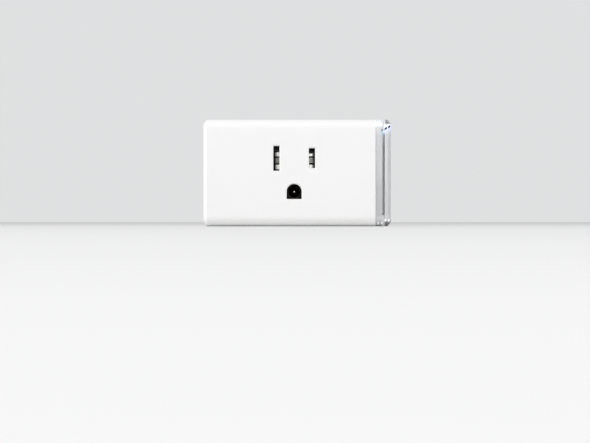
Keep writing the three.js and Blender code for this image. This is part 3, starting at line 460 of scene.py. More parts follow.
# ---------- Light in the clear end ----------

# Heights and slopes of the painted light, as it shows from the front
GLOW_X, GLOW_Z = 31.55, 15.85
GLOW_SLOPE = 0.55
GLOW_SPACING = 1.2
RING_GLOW_Z = 17.6
GLINT_X = 32.55
GLINT_SPACING = 1.25
RING_GLINT_Z, BUTTON_GLINT_Z = -17.2, -16.2
RING_FADE, BUTTON_FADE = 0.9, 2.1
CARRIER_SPOT_Z = 16.05

# Each pair is where a soft edge starts and ends.
GLOW_Y = (LED_Y - 2, LED_Y + 6)
HALO_TOP = (1.0, 2.6)
HALO_TURN = (-1.2, 0.2)
SPOT_HEIGHT = (0.2, 0.5)
SPOTS_X = (30.9, 31.1)
LOWER_HALF = (-1, 1)
GLINT_HEIGHT = (0.3, 0.6)
GLINT_Y = (-32.5, -31.5)
# Where the painted shade lies in the clear plate's corners
SHADE_STREAK_X = (31.9, 32.7)
SHADE_STREAK_Y = (-31.6, -30.6)
SHADE_STREAK_INSET = (2.1, 1.3)
CARRIER_SPOT_HEIGHT = (0.2, 0.4)
CARRIER_LIT_X = (31.3, 31.6)
CARRIER_LIT_Y = (-26, -18)
CARRIER_LIT_Z = (13.9, 15.6)
CARRIER_TURN = (14.3, 15.3)

CLEAR = (0.93, 0.94, 0.95)
# The grey of the painted shade in the clear plate's corners
PAINTED_SHADE_GREY = (0.16, 0.16, 0.16)
LILAC = (0.35, 0.42, 1.0)
BLUE_WHITE = (0.8, 0.92, 1.0)
SPOT_LIGHT = (0.002, 0.004, 0.2)
SPOT_NAVY = (0.004, 0.005, 0.12)
WHITE_LIGHT = (1, 1, 1)
CLARITY = 0.55
HALO_STRENGTH = 0.45
SPOT_STRENGTH = 0.08
GLINT_STRENGTH = 0.42


def clear_polycarbonate(name, glow_z, slope, fade, glint_z):
    """Clear plastic with a little haze in its gloss, and the light that it catches."""
    finish = Finish(name, CLEAR, 0.06)
    finish.set("Transmission Weight", CLARITY)
    finish.set("IOR", 1.42)
    finish.drive("Roughness", finish.spread(finish.noise(3, 2), 0.04, 0.1))
    blue_glow(finish, glow_z, slope, fade, glint_z)
    return finish.material


def painted_corner_shade(finish, x, y, z):
    """Painted shade: the dark interior as the clear plate's upper and lower corners bend it, in soft
    patches of streaky grey.
    """
    half_height = (TOP - BOTTOM) / 2
    near_edge = [half_height - inset for inset in SHADE_STREAK_INSET]
    return finish.product(
        finish.across(finish.away(z, (TOP + BOTTOM) / 2), 0, 1, near_edge),
        finish.across(x, 0, 1, SHADE_STREAK_X),
        finish.across(y, 1, 0, SHADE_STREAK_Y),
        finish.spread(finish.noise(1.4, 1), 0.55, 1.0, 0.4, 0.6),
    )


def corner_glints(finish, x, y, z, glint_z):
    """Room light caught in the lower corner, in a row of short bright marks."""
    return finish.product(
        finish.across(finish.away(z, glint_z), 1, 0, GLINT_HEIGHT),
        finish.spread(finish.beat(x, GLINT_X, GLINT_SPACING), 0, 1, -0.5, 0.2),
        finish.across(y, 1, 0, GLINT_Y),
    )


def above_line(finish, x, z, start_z, slope):
    """The height above a line that starts at the glow's X and rises to both sides of it."""
    rise = finish.calculate("MULTIPLY_ADD", finish.away(x, GLOW_X), slope, start_z * MM)
    return finish.calculate("SUBTRACT", z, rise)


def navy_spots(finish, x, z, near_front):
    """A row of short dark marks of painted light along the glow's rising line, where the LED's light
    shows navy.
    """
    off_line = finish.calculate("ABSOLUTE", above_line(finish, x, z, GLOW_Z, GLOW_SLOPE))
    return finish.product(
        finish.across(off_line, 1, 0, SPOT_HEIGHT),
        finish.spread(finish.beat(x, GLOW_X, GLOW_SPACING), 0, 1, -0.9, -0.3),
        finish.across(x, 0, 1, SPOTS_X),
        near_front,
    )


def blue_glow(finish, glow_z, slope, fade, glint_z):
    """The LED's light in the clear plastic: navy spots on a rising line, white above, lilac below."""
    x, y, z = finish.axes(finish.place)
    near_front = finish.across(y, 1, 0, GLOW_Y)
    spots = navy_spots(finish, x, z, near_front)
    shade_streaks = painted_corner_shade(finish, x, y, z)
    above = above_line(finish, x, z, glow_z, slope)
    halo = finish.product(
        finish.across(above, 0, 1, (-fade, -0.2 * fade)),
        finish.across(above, 1, 0.25, HALO_TOP),
        near_front,
        finish.spread(shade_streaks, 1, 0, 0, 0.8),
        finish.spread(spots, HALO_STRENGTH, SPOT_STRENGTH, 0, 0.6),
    )
    halo_colour = finish.tint(finish.across(above, 0, 1, HALO_TURN), LILAC, BLUE_WHITE, 0, 1)
    glow_colour = finish.blended(spots, halo_colour, SPOT_LIGHT)
    light_colour = finish.blended(finish.across(z, 1, 0, LOWER_HALF), glow_colour, WHITE_LIGHT)
    glints = corner_glints(finish, x, y, z, glint_z)
    finish.drive("Emission Color", light_colour)
    finish.drive("Emission Strength", finish.calculate("MULTIPLY_ADD", glints, GLINT_STRENGTH, halo))
    # Painted shade from the corners greys the clear plastic's base colour.
    shade_streaked = finish.tint(shade_streaks, CLEAR, PAINTED_SHADE_GREY, 0, 1)
    finish.drive("Base Color", finish.blended(finish.spread(spots, 0, 1, 0.1, 0.45), shade_streaked, SPOT_NAVY))
    finish.drive("Transmission Weight", finish.spread(spots, CLARITY, 0, 0, 0.4))


def carrier_plastic():
    """Satin grey core, lit by the LED near its top, where one navy spot falls on it."""
    grey = (0.68, 0.68, 0.68)
    finish = Finish("carrier_plastic", grey, 0.45)
    x, y, z = finish.axes(finish.place)
    off_spot = finish.across(finish.away(z, CARRIER_SPOT_Z), 0, 1, CARRIER_SPOT_HEIGHT)
    lit = finish.product(
        finish.across(z, 0, 0.6, CARRIER_LIT_Z),
        finish.across(x, 0, 1, CARRIER_LIT_X),
        finish.across(y, 1, 0, CARRIER_LIT_Y),
        off_spot,
    )
    upward = finish.across(z, 0, 1, CARRIER_TURN)
    finish.drive("Base Color", finish.tint(off_spot, (0.01, 0.012, 0.3), grey, 0, 1))
    finish.drive("Emission Color", finish.tint(upward, (0.3, 0.3, 1.0), (0.25, 0.85, 1.0), 0, 1))
    finish.drive("Emission Strength", lit)
    finish.drive("Roughness", finish.spread(finish.noise(2, 2), 0.4, 0.52))
    finish.relief(finish.noise(0.2, 2), 0.01, 0.3)
    return finish.material


# ---------- Plain plastics and metals ----------

# Spans of painted shade on the contacts and on the pin's riveted end, and the radius of the pin's painted
# glint
CONTACT_SHADE_Y = (-27.5, -22.5)
PIN_SHADE_Y = (-18, -12)
PIN_GLINT_RADIUS = (0.2, 0.5)
WINDING_PITCH = 0.25
TRACK_SPACING = 2.4


def black_plastic():
    finish = Finish("black_plastic", (0.012, 0.012, 0.013), 0.55)
    colours = ((0.009, 0.009, 0.01), (0.018, 0.018, 0.019))
    return finish.grained(colours, (4, 3), (0.48, 0.66), (1.5, 3), 0.012, (0.18, 3), 0.5)


def plated(name, colour, dark, roughness, along=(1, 0.06, 1)):
    """Plated sheet metal or wire with fine marks along its drawing direction."""
    finish = Finish(name, colour, roughness, 1.0)
    finish.drive("Base Color", finish.tint(finish.noise(3, 4), dark, colour))
    return finish.brushed(roughness - 0.07, roughness + 0.1, along)


def contact_metal():
    """Tinned brass, bright at the mouth and darkened by painted shade deeper inside."""
    finish = Finish("contact_brass", (0.85, 0.84, 0.8), 0.36, 1.0)
    y = finish.axes(finish.place)[1]
    # Painted shade: the metal's colour darkens deeper inside the slot.
    bright = finish.across(y, 1, 0, CONTACT_SHADE_Y)
    mottled_and_shaded = finish.calculate("MULTIPLY_ADD", finish.noise(1.5, 4), 0.12, bright)
    finish.drive("Base Color", finish.tint(mottled_and_shaded, (0.02, 0.019, 0.017), (0.95, 0.94, 0.92), 0.06, 0.9))
    return finish.brushed(0.38, 0.5, (1, 0.06, 1))


def pin_metal():
    """Nickel plate, with painted shade darkening the riveted end inside the plug and a painted glint at
    its centre.
    """
    nickel = (0.74, 0.72, 0.68)
    finish = Finish("pin_nickel", nickel, 0.22, 1.0)
    x, y, z = finish.axes(finish.place)
    # Painted shade: the riveted end, deep in the ground hole, is darkened.
    pin_out_of_shade = finish.across(y, 0, 1, PIN_SHADE_Y)
    mottled_and_shaded = finish.calculate("MULTIPLY_ADD", finish.noise(3, 4), 0.2, pin_out_of_shade)
    rise = finish.away(z, GROUND_Z)
    squares = finish.calculate("ADD", finish.product(x, x), finish.product(rise, rise))
    off_axis = finish.calculate("SQRT", squares)
    # Painted glint: a small spot round the pin's axis, on the centre of its ends, is lightened.
    bright = finish.calculate("MAXIMUM", mottled_and_shaded, finish.across(off_axis, 0.45, 0, PIN_GLINT_RADIUS))
    finish.drive("Base Color", finish.tint(bright, (0.035, 0.033, 0.03), nickel, 0.15, 1.1))
    return finish.brushed(0.16, 0.3, (0.3, 1, 0.3))


def zinc_screw():
    finish = Finish("zinc_screw", (0.42, 0.43, 0.45), 0.35, 1.0)
    colours = ((0.33, 0.33, 0.33), (0.5, 0.5, 0.52))
    return finish.grained(colours, (0.8, 4), (0.26, 0.5), (0.4, 4), 0.01, (0.2, 3), 0.4)


def soft_iron():
    finish = Finish("soft_iron", (0.45, 0.45, 0.46), 0.45, 1.0)
    colours = ((0.36, 0.36, 0.36), (0.5, 0.5, 0.5))
    return finish.grained(colours, (1.5, 4), (0.38, 0.56), (0.3, 3), 0.01, (0.25, 3), 0.5)


def enamelled_copper():
    """Turns of fine wire: ridges along the coil's length, with painted shade darkening the grooves."""
    finish = Finish("enamelled_copper", (0.55, 0.19, 0.07), 0.32, 0.9)
    wave = finish.nodes.new("ShaderNodeTexWave")
    wave.bands_direction = "Z"
    wave.inputs["Scale"].default_value = 2 / (WINDING_PITCH * MM * math.tau)
    wave.inputs["Distortion"].default_value = 0.6
    wave.inputs["Detail"].default_value = 1
    finish.links.new(finish.place, wave.inputs["Vector"])
    turns = wave.outputs["Fac"]
    # Painted shade: the base colour darkens in the grooves between turns.
    finish.drive("Base Color", finish.tint(turns, (0.25, 0.07, 0.02), (0.62, 0.23, 0.09), 0.1, 0.8))
    finish.relief(turns, 0.08, 0.9)
    return finish.material


def solder_mask(name, base, copper_under, stretch):
    """Coloured mask over a pattern of copper tracks, slightly raised."""
    finish = Finish(name, base, 0.35)
    near, next_near = (finish.nodes.new("ShaderNodeTexVoronoi") for _ in range(2))
    next_near.feature = "F2"
    for cells in (near, next_near):
        cells.distance = "CHEBYCHEV"
        cells.inputs["Scale"].default_value = 1 / (TRACK_SPACING * MM)
        cells.inputs["Randomness"].default_value = 0.8
        finish.links.new(finish.stretched(stretch), cells.inputs["Vector"])
    from_border = finish.calculate("SUBTRACT", next_near.outputs["Distance"], near.outputs["Distance"])
    track = finish.spread(from_border, 1, 0, 0.05, 0.09)
    finish.drive("Base Color", finish.tint(track, base, copper_under, 0.0, 1.0))
    finish.drive("Roughness", finish.spread(finish.noise(1.2, 3), 0.28, 0.42))
    finish.relief(track, 0.03, 0.7)
    finish.set("Coat Weight", 0.4)
    finish.set("Coat Roughness", 0.15)
    return finish.material


def plain_part(name, dark, light, roughness, grain=0.2, height=0.01):
    """Moulded or dipped parts with a small wander in colour and gloss."""
    finish = Finish(name, light, roughness)
    gloss = (max(roughness - 0.08, 0.05), roughness + 0.1)
    return finish.grained((dark, light), (1.6, 4), gloss, (0.7, 3), height, (grain, 3), 0.5)


def lit_lens():
    finish = Finish("lit_lens", (0.5, 0.65, 1.0), 0.2)
    finish.set("Emission Color", (0.12, 0.25, 1.0, 1))
    finish.drive("Emission Strength", finish.spread(finish.noise(0.8, 2), 3.5, 6.0))
    return finish.material


WHITE = moulded_white()
CLEAR_GUIDE = clear_polycarbonate("clear_guide", RING_GLOW_Z, 0.0, RING_FADE, RING_GLINT_Z)
CLEAR_BUTTON = clear_polycarbonate("clear_button", GLOW_Z, GLOW_SLOPE, BUTTON_FADE, BUTTON_GLINT_Z)
CARRIER = carrier_plastic()
BLACK = black_plastic()
NICKEL = plated("nickel_plate", (0.74, 0.72, 0.68), (0.64, 0.62, 0.58), 0.24)
BRASS = plated("tinned_brass", (0.82, 0.79, 0.72), (0.68, 0.64, 0.55), 0.3)
CLIP_METAL = contact_metal()
# Painted shade: a near-black brass for the ground contact, which sits in shade deep in the ground hole.
SHADE_DARK_BRASS = plated("shade_darkened_brass", (0.07, 0.06, 0.05), (0.035, 0.03, 0.025), 0.5)
PIN_METAL = pin_metal()
ZINC = zinc_screw()
IRON = soft_iron()
SILVER = plated("contact_silver", (0.85, 0.85, 0.83), (0.7, 0.7, 0.68), 0.25, (1, 1, 1))
COPPER = enamelled_copper()
ALUMINIUM = plated("can_aluminium", (0.78, 0.78, 0.79), (0.68, 0.68, 0.69), 0.32, (1, 1, 1))
GREEN_BOARD = solder_mask("green_board", (0.012, 0.1, 0.035), (0.03, 0.19, 0.07), (1, 0.02, 0.25))
BLACK_BOARD = solder_mask("black_board", (0.01, 0.012, 0.014), (0.03, 0.034, 0.038), (0.02, 1, 0.25))
BOBBIN = plain_part("bobbin_nylon", (0.68, 0.64, 0.54), (0.78, 0.75, 0.66), 0.5)
SLEEVE = plain_part("capacitor_sleeve", (0.008, 0.02, 0.06), (0.014, 0.035, 0.09), 0.3)
VARISTOR = plain_part("varistor_epoxy", (0.015, 0.09, 0.32), (0.025, 0.14, 0.46), 0.32, 0.6, 0.05)
FILM_BOX = plain_part("film_box", (0.6, 0.38, 0.04), (0.7, 0.46, 0.07), 0.42)
RESISTOR = plain_part("resistor_coat", (0.11, 0.2, 0.1), (0.17, 0.28, 0.15), 0.6, 0.3, 0.04)
FERRITE = plain_part("ferrite", (0.02, 0.02, 0.02), (0.045, 0.043, 0.04), 0.6)
CHIP = plain_part("chip_epoxy", (0.01, 0.01, 0.011), (0.02, 0.02, 0.021), 0.58, 0.12, 0.015)
LENS = lit_lens()
FILM = plain_part("sheet_film", (0.55, 0.57, 0.53), (0.63, 0.65, 0.6), 0.45)


def dress(piece, material):
    piece.data.materials.clear()
    piece.data.materials.append(material)


def stand_in(piece, node, body, material):
    """Puts a built piece in a CAD node's place."""
    dress(piece, material)
    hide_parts(node)
    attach(piece, body)


# ---------- Shells ----------

SEAM = 0.1
BEYOND = 5
LEAST_RADIUS = 0.2
HOLLOW_RADIUS = 1.2
SHELL_EDGE, RING_EDGE, PLATE_EDGE, CARRIER_EDGE = 0.16, 0.13, 0.22, 0.15
STEM_HOLE_RADIUS = 2.8
PIPE_HOLE_RADIUS = 1.5
HOOK_SLOT_Y = (-19.4, -14.6)
HOOK_SLOTS_Z = ((8.3, 10.7), (-9.3, -6.9))
PEG_HOLE_RADIUS, PEG_HOLE_DEPTH = 1.1, 1.6
BOSS_RADIUS, BOSS_GAP = 2.6, 0.15
PILOT_RADIUS, PILOT_END = 1.25, -18.5
LIP_RADIUS, LIP_END, LIP_THICKNESS = 0.8, -10, 1
NOTCH_RADIUS = 2.9
POST_RADIUS = 2.5
STANDOFF_RADIUS, STANDOFF_END = 1.9, -5.9
SCREW_WAY_RADIUS = 1.35
HEAD_WELL_RADIUS, HEAD_WELL_DEPTH = 2.3, 2.1
BOARD_PILOT_RADIUS, BOARD_PILOT_Y = 0.95, (-7, INNER_REAR + 0.6)
PANEL_X, PANEL_Z = (-25.5, -11.5), (-9.5, 10.5)
PANEL_RADIUS, PANEL_DEPTH = 1.0, 0.2
PIN_WAY_RADIUS = 2.675

WIDE_X = widened((LEFT, SHELL_END), BEYOND)
WIDE_Z = widened((BOTTOM, TOP), BEYOND)
END_WALL_X = widened((INNER_X[1], SHELL_END), OVERLAP)


def drawn_in(inset, *radii):
    """The body's outline across X, drawn in by an inset, with the given corner radii."""
    return rounded(widened((FRONT, REAR), -inset), widened((BOTTOM, TOP), -inset), *radii)


def body_ring(x, inset):
    outline = drawn_in(inset, FRONT_RADIUS - inset, max(REAR_RADIUS - inset, LEAST_RADIUS))
    return [place("x", u, v, x) for u, v in outline]


def body_slab(name, rows):
    """A slice of the body through (x, inset) rows."""
    return loft(name, [body_ring(x, inset) for x, inset in rows])


def white_slab(name):
    return body_slab(name, ((LEFT, END_CHAMFER), (LEFT + END_CHAMFER, 0), (GUIDE_X[0] - SEAM, 0)))


def ground_outline(grow):
    """The ground hole: round at the top, flat at the bottom."""
    radius = GROUND_HOLE_RADIUS + grow
    floor = GROUND_Z - GROUND_HOLE_FLOOR - grow
    return arc((0, GROUND_Z), radius, 0, 180, 2 * ARC_STEPS) + [(-radius, floor), (radius, floor)]


def slot_outline(centre_x, z, grow):
    return rectangle(about(centre_x, SLOT_WIDTH / 2 + grow), widened(z, grow))


def face_openings():
    """Cutters for the three receptacle openings, each with its lead-in."""
    shapes = (
        lambda grow: slot_outline(-BLADE_X, NEUTRAL_SLOT, grow),
        lambda grow: slot_outline(BLADE_X, LINE_SLOT, grow),
        ground_outline,
    )
    inside = INNER_FRONT + OVERLAP
    rows = ((FRONT - OVERLAP, LEAD_IN), (FRONT, LEAD_IN), (FRONT + LEAD_IN, 0), (inside, 0))
    cutters = []
    for shape in shapes:
        rings = [[place("y", u, v, y) for u, v in shape(grow)] for y, grow in rows]
        cutters.append(loft("opening", rings))
    return cutters


def end_openings():
    """Cutters for the end wall: button stem, light pipe, snap hooks and guide pegs."""
    stem = bar("stem_hole", "x", STEM_HOLE_RADIUS, *END_WALL_X, (STEM_Y, STEM_Z))
    pipe = bar("pipe_hole", "x", PIPE_HOLE_RADIUS, *END_WALL_X, (LED_Y, LIGHT_PIPE_Z))
    hooks = [block("hook_slot", END_WALL_X, HOOK_SLOT_Y, z) for z in HOOK_SLOTS_Z]
    pegs = bars("peg_hole", "x", PEG_HOLE_RADIUS, SHELL_END - PEG_HOLE_DEPTH, END_WALL_X[1], PEGS)
    return [stem, pipe, *hooks, *pegs]


def front_shell():
    shell = white_slab("front_shell")
    hollow = rounded((INNER_FRONT, SPLIT_FRONT + 2 * OVERLAP), INNER_Z, HOLLOW_RADIUS, LEAST_RADIUS)
    behind = (SPLIT_FRONT, REAR + BEYOND)
    cut(shell, block("behind_split", WIDE_X, behind, WIDE_Z), prism("hollow", "x", hollow, *INNER_X))
    boss_y = (INNER_FRONT - OVERLAP, SPLIT_FRONT - BOSS_GAP)
    join(shell, *bars("boss", "y", BOSS_RADIUS, *boss_y, CASE_SCREWS))
    pilots = bars("pilot", "y", PILOT_RADIUS, PILOT_END, SPLIT_FRONT + OVERLAP, CASE_SCREWS)
    cut(shell, *pilots, *face_openings(), *end_openings())
    soften(shell, SHELL_EDGE)
    stand_in(shell, "front_cover", "case", WHITE)


def rear_lip():
    """The rear shell's upright rim, which fits inside the front shell and clears its bosses."""
    x, z = widened(INNER_X, -GAP), widened(INNER_Z, -GAP)
    start = LIP_END - OVERLAP
    lip = prism("lip", "y", rounded(x, z, LIP_RADIUS), LIP_END, INNER_REAR - OVERLAP)
    inside = rounded(widened(x, -LIP_THICKNESS), widened(z, -LIP_THICKNESS), LIP_RADIUS / 2)
    notches = bars("notch", "y", NOTCH_RADIUS, start, SPLIT_REAR, CASE_SCREWS)
    return cut(lip, prism("lip_inner", "y", inside, start, INNER_REAR), *notches)


def rear_holes():
    """Cutters for the rear shell: screws, label panel, blades and ground pin."""
    inside, outside = INNER_REAR - OVERLAP, REAR + OVERLAP
    panel = rounded(PANEL_X, PANEL_Z, PANEL_RADIUS)
    holes = [
        *bars("screw_way", "y", SCREW_WAY_RADIUS, SPLIT_REAR - OVERLAP, REAR, CASE_SCREWS),
        *bars("head_well", "y", HEAD_WELL_RADIUS, REAR - HEAD_WELL_DEPTH, outside, CASE_SCREWS),
        *bars("board_pilot", "y", BOARD_PILOT_RADIUS, *BOARD_PILOT_Y, BOARD_SCREWS),
        prism("label_panel", "y", panel, REAR - PANEL_DEPTH, outside),
        bar("pin_way", "y", PIN_WAY_RADIUS, inside, outside, (0, GROUND_Z)),
    ]
    way_z = about(BLADE_Z, BLADE_WIDTH / 2 + GAP)
    for x in (-BLADE_X, BLADE_X):
        holes.append(block("blade_way", about(x, BLADE_THICKNESS / 2 + GAP), (inside, outside), way_z))
    return holes


def rear_shell():
    shell = white_slab("rear_shell")
    before = block("before_split", WIDE_X, (FRONT - BEYOND, SPLIT_REAR), WIDE_Z)
    cut(shell, before, block("hollow", INNER_X, (SPLIT_REAR - OVERLAP, INNER_REAR), INNER_Z))
    root = INNER_REAR + OVERLAP
    posts = bars("post", "y", POST_RADIUS, SPLIT_REAR, root, CASE_SCREWS)
    standoffs = bars("standoff", "y", STANDOFF_RADIUS, STANDOFF_END, root, BOARD_SCREWS)
    join(shell, rear_lip(), *posts, *standoffs)
    cut(shell, *rear_holes(), *end_openings())
    soften(shell, SHELL_EDGE)
    stand_in(shell, "rear_cover", "case", WHITE)


# ---------- Lit end ----------

INSET_RADIUS = 1.2
PEG_RADIUS, PEG_CLEARANCE = 0.8, 0.6
PIPE_RADIUS = 1.2
ROOT = 0.5
STEM_RADIUS, STEM_LENGTH = 2.2, 1.8
LEG_Y = (-19, -15)
LEGS_Z = (9.2, -7.8)
LEG_HALF = 0.6
CATCH_REACH, CATCH_LENGTH = 1.2, 0.9


def light_guide():
    ring = body_slab("light_guide", ((GUIDE_X[0], 0), (GUIDE_X[1], 0)))
    cut(ring, prism("window", "x", drawn_in(GUIDE_INSET, INSET_RADIUS), *widened(GUIDE_X, OVERLAP)))
    root = GUIDE_X[0] + ROOT
    pegs = bars("peg", "x", PEG_RADIUS, GUIDE_LOW.x + PEG_CLEARANCE, root, PEGS, 24)
    pipe = bar("pipe", "x", PIPE_RADIUS, GUIDE_LOW.x, root, (LED_Y, LIGHT_PIPE_Z), 32)
    join(ring, pipe, *pegs)
    soften(ring, RING_EDGE)
    stand_in(ring, "side_light_guide", "case", CLEAR_GUIDE)


def end_button():
    rows = ((BUTTON_LOW.x, 0), (RIGHT - END_CHAMFER, 0), (RIGHT, END_CHAMFER))
    plate = body_slab("end_button", rows)
    soften(plate, PLATE_EDGE, 4)
    stand_in(plate, "power_button", "button", CLEAR_BUTTON)


def carrier():
    """The core that the clear plate is fixed to, with its stem and two snap hooks."""
    core = prism("carrier_core", "x", drawn_in(CARRIER_INSET, INSET_RADIUS), *CARRIER_X)
    root = CARRIER_X[0] + OVERLAP
    stem = bar("stem", "x", STEM_RADIUS, CARRIER_X[0] - STEM_LENGTH, root, (STEM_Y, STEM_Z))
    catch_x = (CARRIER_LOW.x, CARRIER_LOW.x + CATCH_LENGTH)
    hooks = []
    for z in LEGS_Z:
        ledge = sorted((z, z + math.copysign(CATCH_REACH, z)))
        hooks.append(block("leg", (CARRIER_LOW.x, root), LEG_Y, about(z, LEG_HALF)))
        hooks.append(block("catch", catch_x, LEG_Y, ledge))
    join(core, stem, *hooks)
    soften(core, CARRIER_EDGE)
    stand_in(core, "button_carrier", "button", CARRIER)


front_shell()
rear_shell()
light_guide()
end_button()
carrier()


# ---------- Receptacle contacts ----------

SHEET = 0.5
CONTACT_BASE_Y = -17.0
LEAF_ROOT_Y = -22.0
CONTACT_TAIL_Y = -5.2
LEAF_X, OUTER_LEAF_X, TAIL_X = 4.9, 7.8, 9.55
TAIL_Z = (4.4, 7.4)
CONTACT_TOPS = {-1: 8.15, 1: 7.65}

# The outer leaf's flare, and how round its bend and each finger's bends are
FLARE = ((OUTER_LEAF_X, -28.6), (8.2, -29.8))
FLARE_BEND, FINGER_BEND = 1.0, 0.5

# A finger: its span along Z, its crown's place along Y, and its lip's reach ahead of the crown
FINGERS = (((2.05, 3.68), -29.0, 0.35), ((4.3, 6.3), -26.4, 1.1), ((6.75, 8.15), -29.0, 0.35))
FINGER_ROOT_Y = -21.0
FINGER_LEAN, FINGER_BOW = 0.1, 4.5
BULGE_X = {-1: 6.9, 1: 7.15}
LIP_SLOPE = {-1: 0.7, 1: 0.55}

FORK_Z = about(GROUND_Z, 2.4)
FORK_BASE_X, FORK_BASE_Y = (-3.55, 3.55), (-19.6, -19.0)
FORK_LEAF = ((3.3, -19.3), (3.3, -22.5), (2.6, -25.8), (3.35, -28.8))
FORK_BEND = 1.5
FORK_HOLE_RADIUS, FORK_HOLE_Y = 1.9, (-20.5, -18.5)


def sided(route, side):
    """A route as drawn for the right side, or its mirror image for the left."""
    return route if side > 0 else [Vector((-point.x, point.y)) for point in route]


def finger(side, z, crown, lip_rise):
    """A sprung finger that bows towards the blade's path and turns back at its lip."""
    turns = [
        (LEAF_X, FINGER_ROOT_Y),
        (LEAF_X + FINGER_LEAN, crown + FINGER_BOW),
        (BULGE_X[side], crown),
        (LEAF_X, crown - lip_rise * LIP_SLOPE[side]),
    ]
    route = sided(bent(turns, FINGER_BEND), side)
    return prism("finger", "z", strip(route, SHEET), *z)


def blade_contact(side, node):
    """A clip for one flat blade: a straight outer leaf, and an inner leaf split into sprung fingers."""
    top = CONTACT_TOPS[side]
    half = SHEET / 2
    inner, tail = (mirrored(about(x, half), side) for x in (LEAF_X, TAIL_X))
    all_z = (FINGERS[0][0][0], top)
    base_end = CONTACT_BASE_Y + SHEET
    base_x = mirrored((LEAF_X - half, TAIL_X + half), side)
    clip = block(node + "_detail", inner, (LEAF_ROOT_Y, base_end), all_z)
    flare = bent([(OUTER_LEAF_X, CONTACT_BASE_Y), *FLARE], FLARE_BEND)
    parts = [
        prism("outer_leaf", "z", strip(sided(flare, side), SHEET), *all_z),
        block("base", base_x, (CONTACT_BASE_Y, base_end), all_z),
        block("tail", tail, (CONTACT_BASE_Y, CONTACT_TAIL_Y), TAIL_Z),
    ]
    for (low, high), crown, lip_rise in FINGERS:
        parts.append(finger(side, (low, min(high, top)), crown, lip_rise))
    join(clip, *parts)
    shade(clip)
    stand_in(clip, node, "case", CLIP_METAL)


def ground_fork():
    """A fork whose two leaves close on the round pin of a plug."""
    fork = block("ground_contact_detail", FORK_BASE_X, FORK_BASE_Y, FORK_Z)
    routes = [sided(bent(FORK_LEAF, FORK_BEND), side) for side in (-1, 1)]
    join(fork, *(prism("leaf", "z", strip(route, SHEET), *FORK_Z) for route in routes))
    cut(fork, bar("stem_way", "y", FORK_HOLE_RADIUS, *FORK_HOLE_Y, (0, GROUND_Z)))
    shade(fork)
    # The fork's near-black finish is painted shade.
    stand_in(fork, "ground_contact", "case", SHADE_DARK_BRASS)


blade_contact(-1, "neutral_contact")
blade_contact(1, "line_contact")
ground_fork()


# ---------- Plug blades and ground pin ----------

BLADE_END = BLADE_HIGH.y
PIN_END = PIN_HIGH.y
BLADE_EDGE, PIN_EDGE = 0.14, 0.12
TIP_CHAMFER = 1.5
TIP_TAPER, TIP_TAPER_LENGTH = 0.45, 1.2
BLADE_HOLE_Y = 11.9
BLADE_HOLE_RADIUS = 1.6
FLANGE_Y = (-3.4, INNER_REAR - 0.1)
FLANGE_HALF, FLANGE_RIM = 2, 1
TAIL_HALF = 0.5
PIN_FLANGE_RIM = 1.225
PIN_FLANGE_RADIUS = 3.6
PIN_STEM_RADIUS = 1.6

# The pin's riveted head: radius and distance from its end
RIVET = ((0, 0), (0.8, 0.1), (1.7, 0.5), (2.1, 1.1), (PIN_STEM_RADIUS, 1.15))
DOME_STEP = 9


def tapered(root, end, span, chamfer, length):
    """An outline that runs along its first coordinate and narrows over a length before its end."""
    low, high = span
    shoulder = end - length
    tip = [(shoulder, low), (end, low + chamfer), (end, high - chamfer), (shoulder, high)]
    return [(root, low), *tip, (root, high)]


def plug_blade(x, node):
    """A flat blade with a tapered tip, a drilled hole, a flange behind the wall and a narrower tail."""
    half = BLADE_THICKNESS / 2
    z = about(BLADE_Z, BLADE_WIDTH / 2)
    root = FLANGE_Y[0] + GAP
    side = tapered(root, BLADE_END, z, TIP_CHAMFER, TIP_CHAMFER)
    above = tapered(root - OVERLAP, BLADE_END, about(x, half), TIP_TAPER, TIP_TAPER_LENGTH)
    # Swapping the coordinates mirrors the outline, so its points run the other way round.
    plan = [(u, v) for v, u in (above[0], *above[:0:-1])]
    blade = prism(node + "_detail", "x", side, *about(x, half))
    combine(blade, [prism("plan", "z", plan, *widened(z, OVERLAP))], "INTERSECT")
    cut(blade, bar("hole", "x", BLADE_HOLE_RADIUS, *about(x, OVERLAP), (BLADE_HOLE_Y, BLADE_Z)))
    flange = block("flange", about(x, FLANGE_HALF), FLANGE_Y, widened(z, FLANGE_RIM))
    join(blade, flange, block("tail", about(x, TAIL_HALF), (BLADE_LOW.y, root), TAIL_Z))
    soften(blade, BLADE_EDGE, 3, 25)
    stand_in(blade, node, "case", NICKEL)


def round_pin():
    """The ground pin: dome tip outside, flange inside, and a riveted stem."""
    radius = PIN_HIGH.z - GROUND_Z - PIN_FLANGE_RIM
    dome = []
    for angle in range(0, 90, DOME_STEP):
        turn = math.radians(angle)
        dome.append((radius * math.cos(turn), PIN_END - radius * (1 - math.sin(turn))))
    profile = [
        *((ring, PIN_LOW.y + rise) for ring, rise in RIVET),
        (PIN_STEM_RADIUS, FLANGE_Y[0]),
        (PIN_FLANGE_RADIUS, FLANGE_Y[0]),
        (PIN_FLANGE_RADIUS, FLANGE_Y[1]),
        (radius, FLANGE_Y[1]),
        *dome,
        (0, PIN_END),
    ]
    pin = turned("ground_pin_detail", "y", profile, (0, GROUND_Z), 64)
    soften(pin, PIN_EDGE, 3, 35)
    stand_in(pin, "ground_pin", "case", PIN_METAL)


plug_blade(BLADE_X, "line_blade")
plug_blade(-BLADE_X, "neutral_blade")
round_pin()


# ---------- Screws ----------

# A screw's head and shank: radius and length
CASE_HEAD, CASE_SHANK = (2.0, 1.5), (1.05, 13.0)
BOARD_HEAD, BOARD_SHANK = (1.7, 0.9), (0.75, 4.6)
CASE_HEAD_SUNK = 0.3
SCREW_EDGE = 0.06
BOARD_HEAD_Y = -8.6
RECESS_OUTSIDE = 0.5

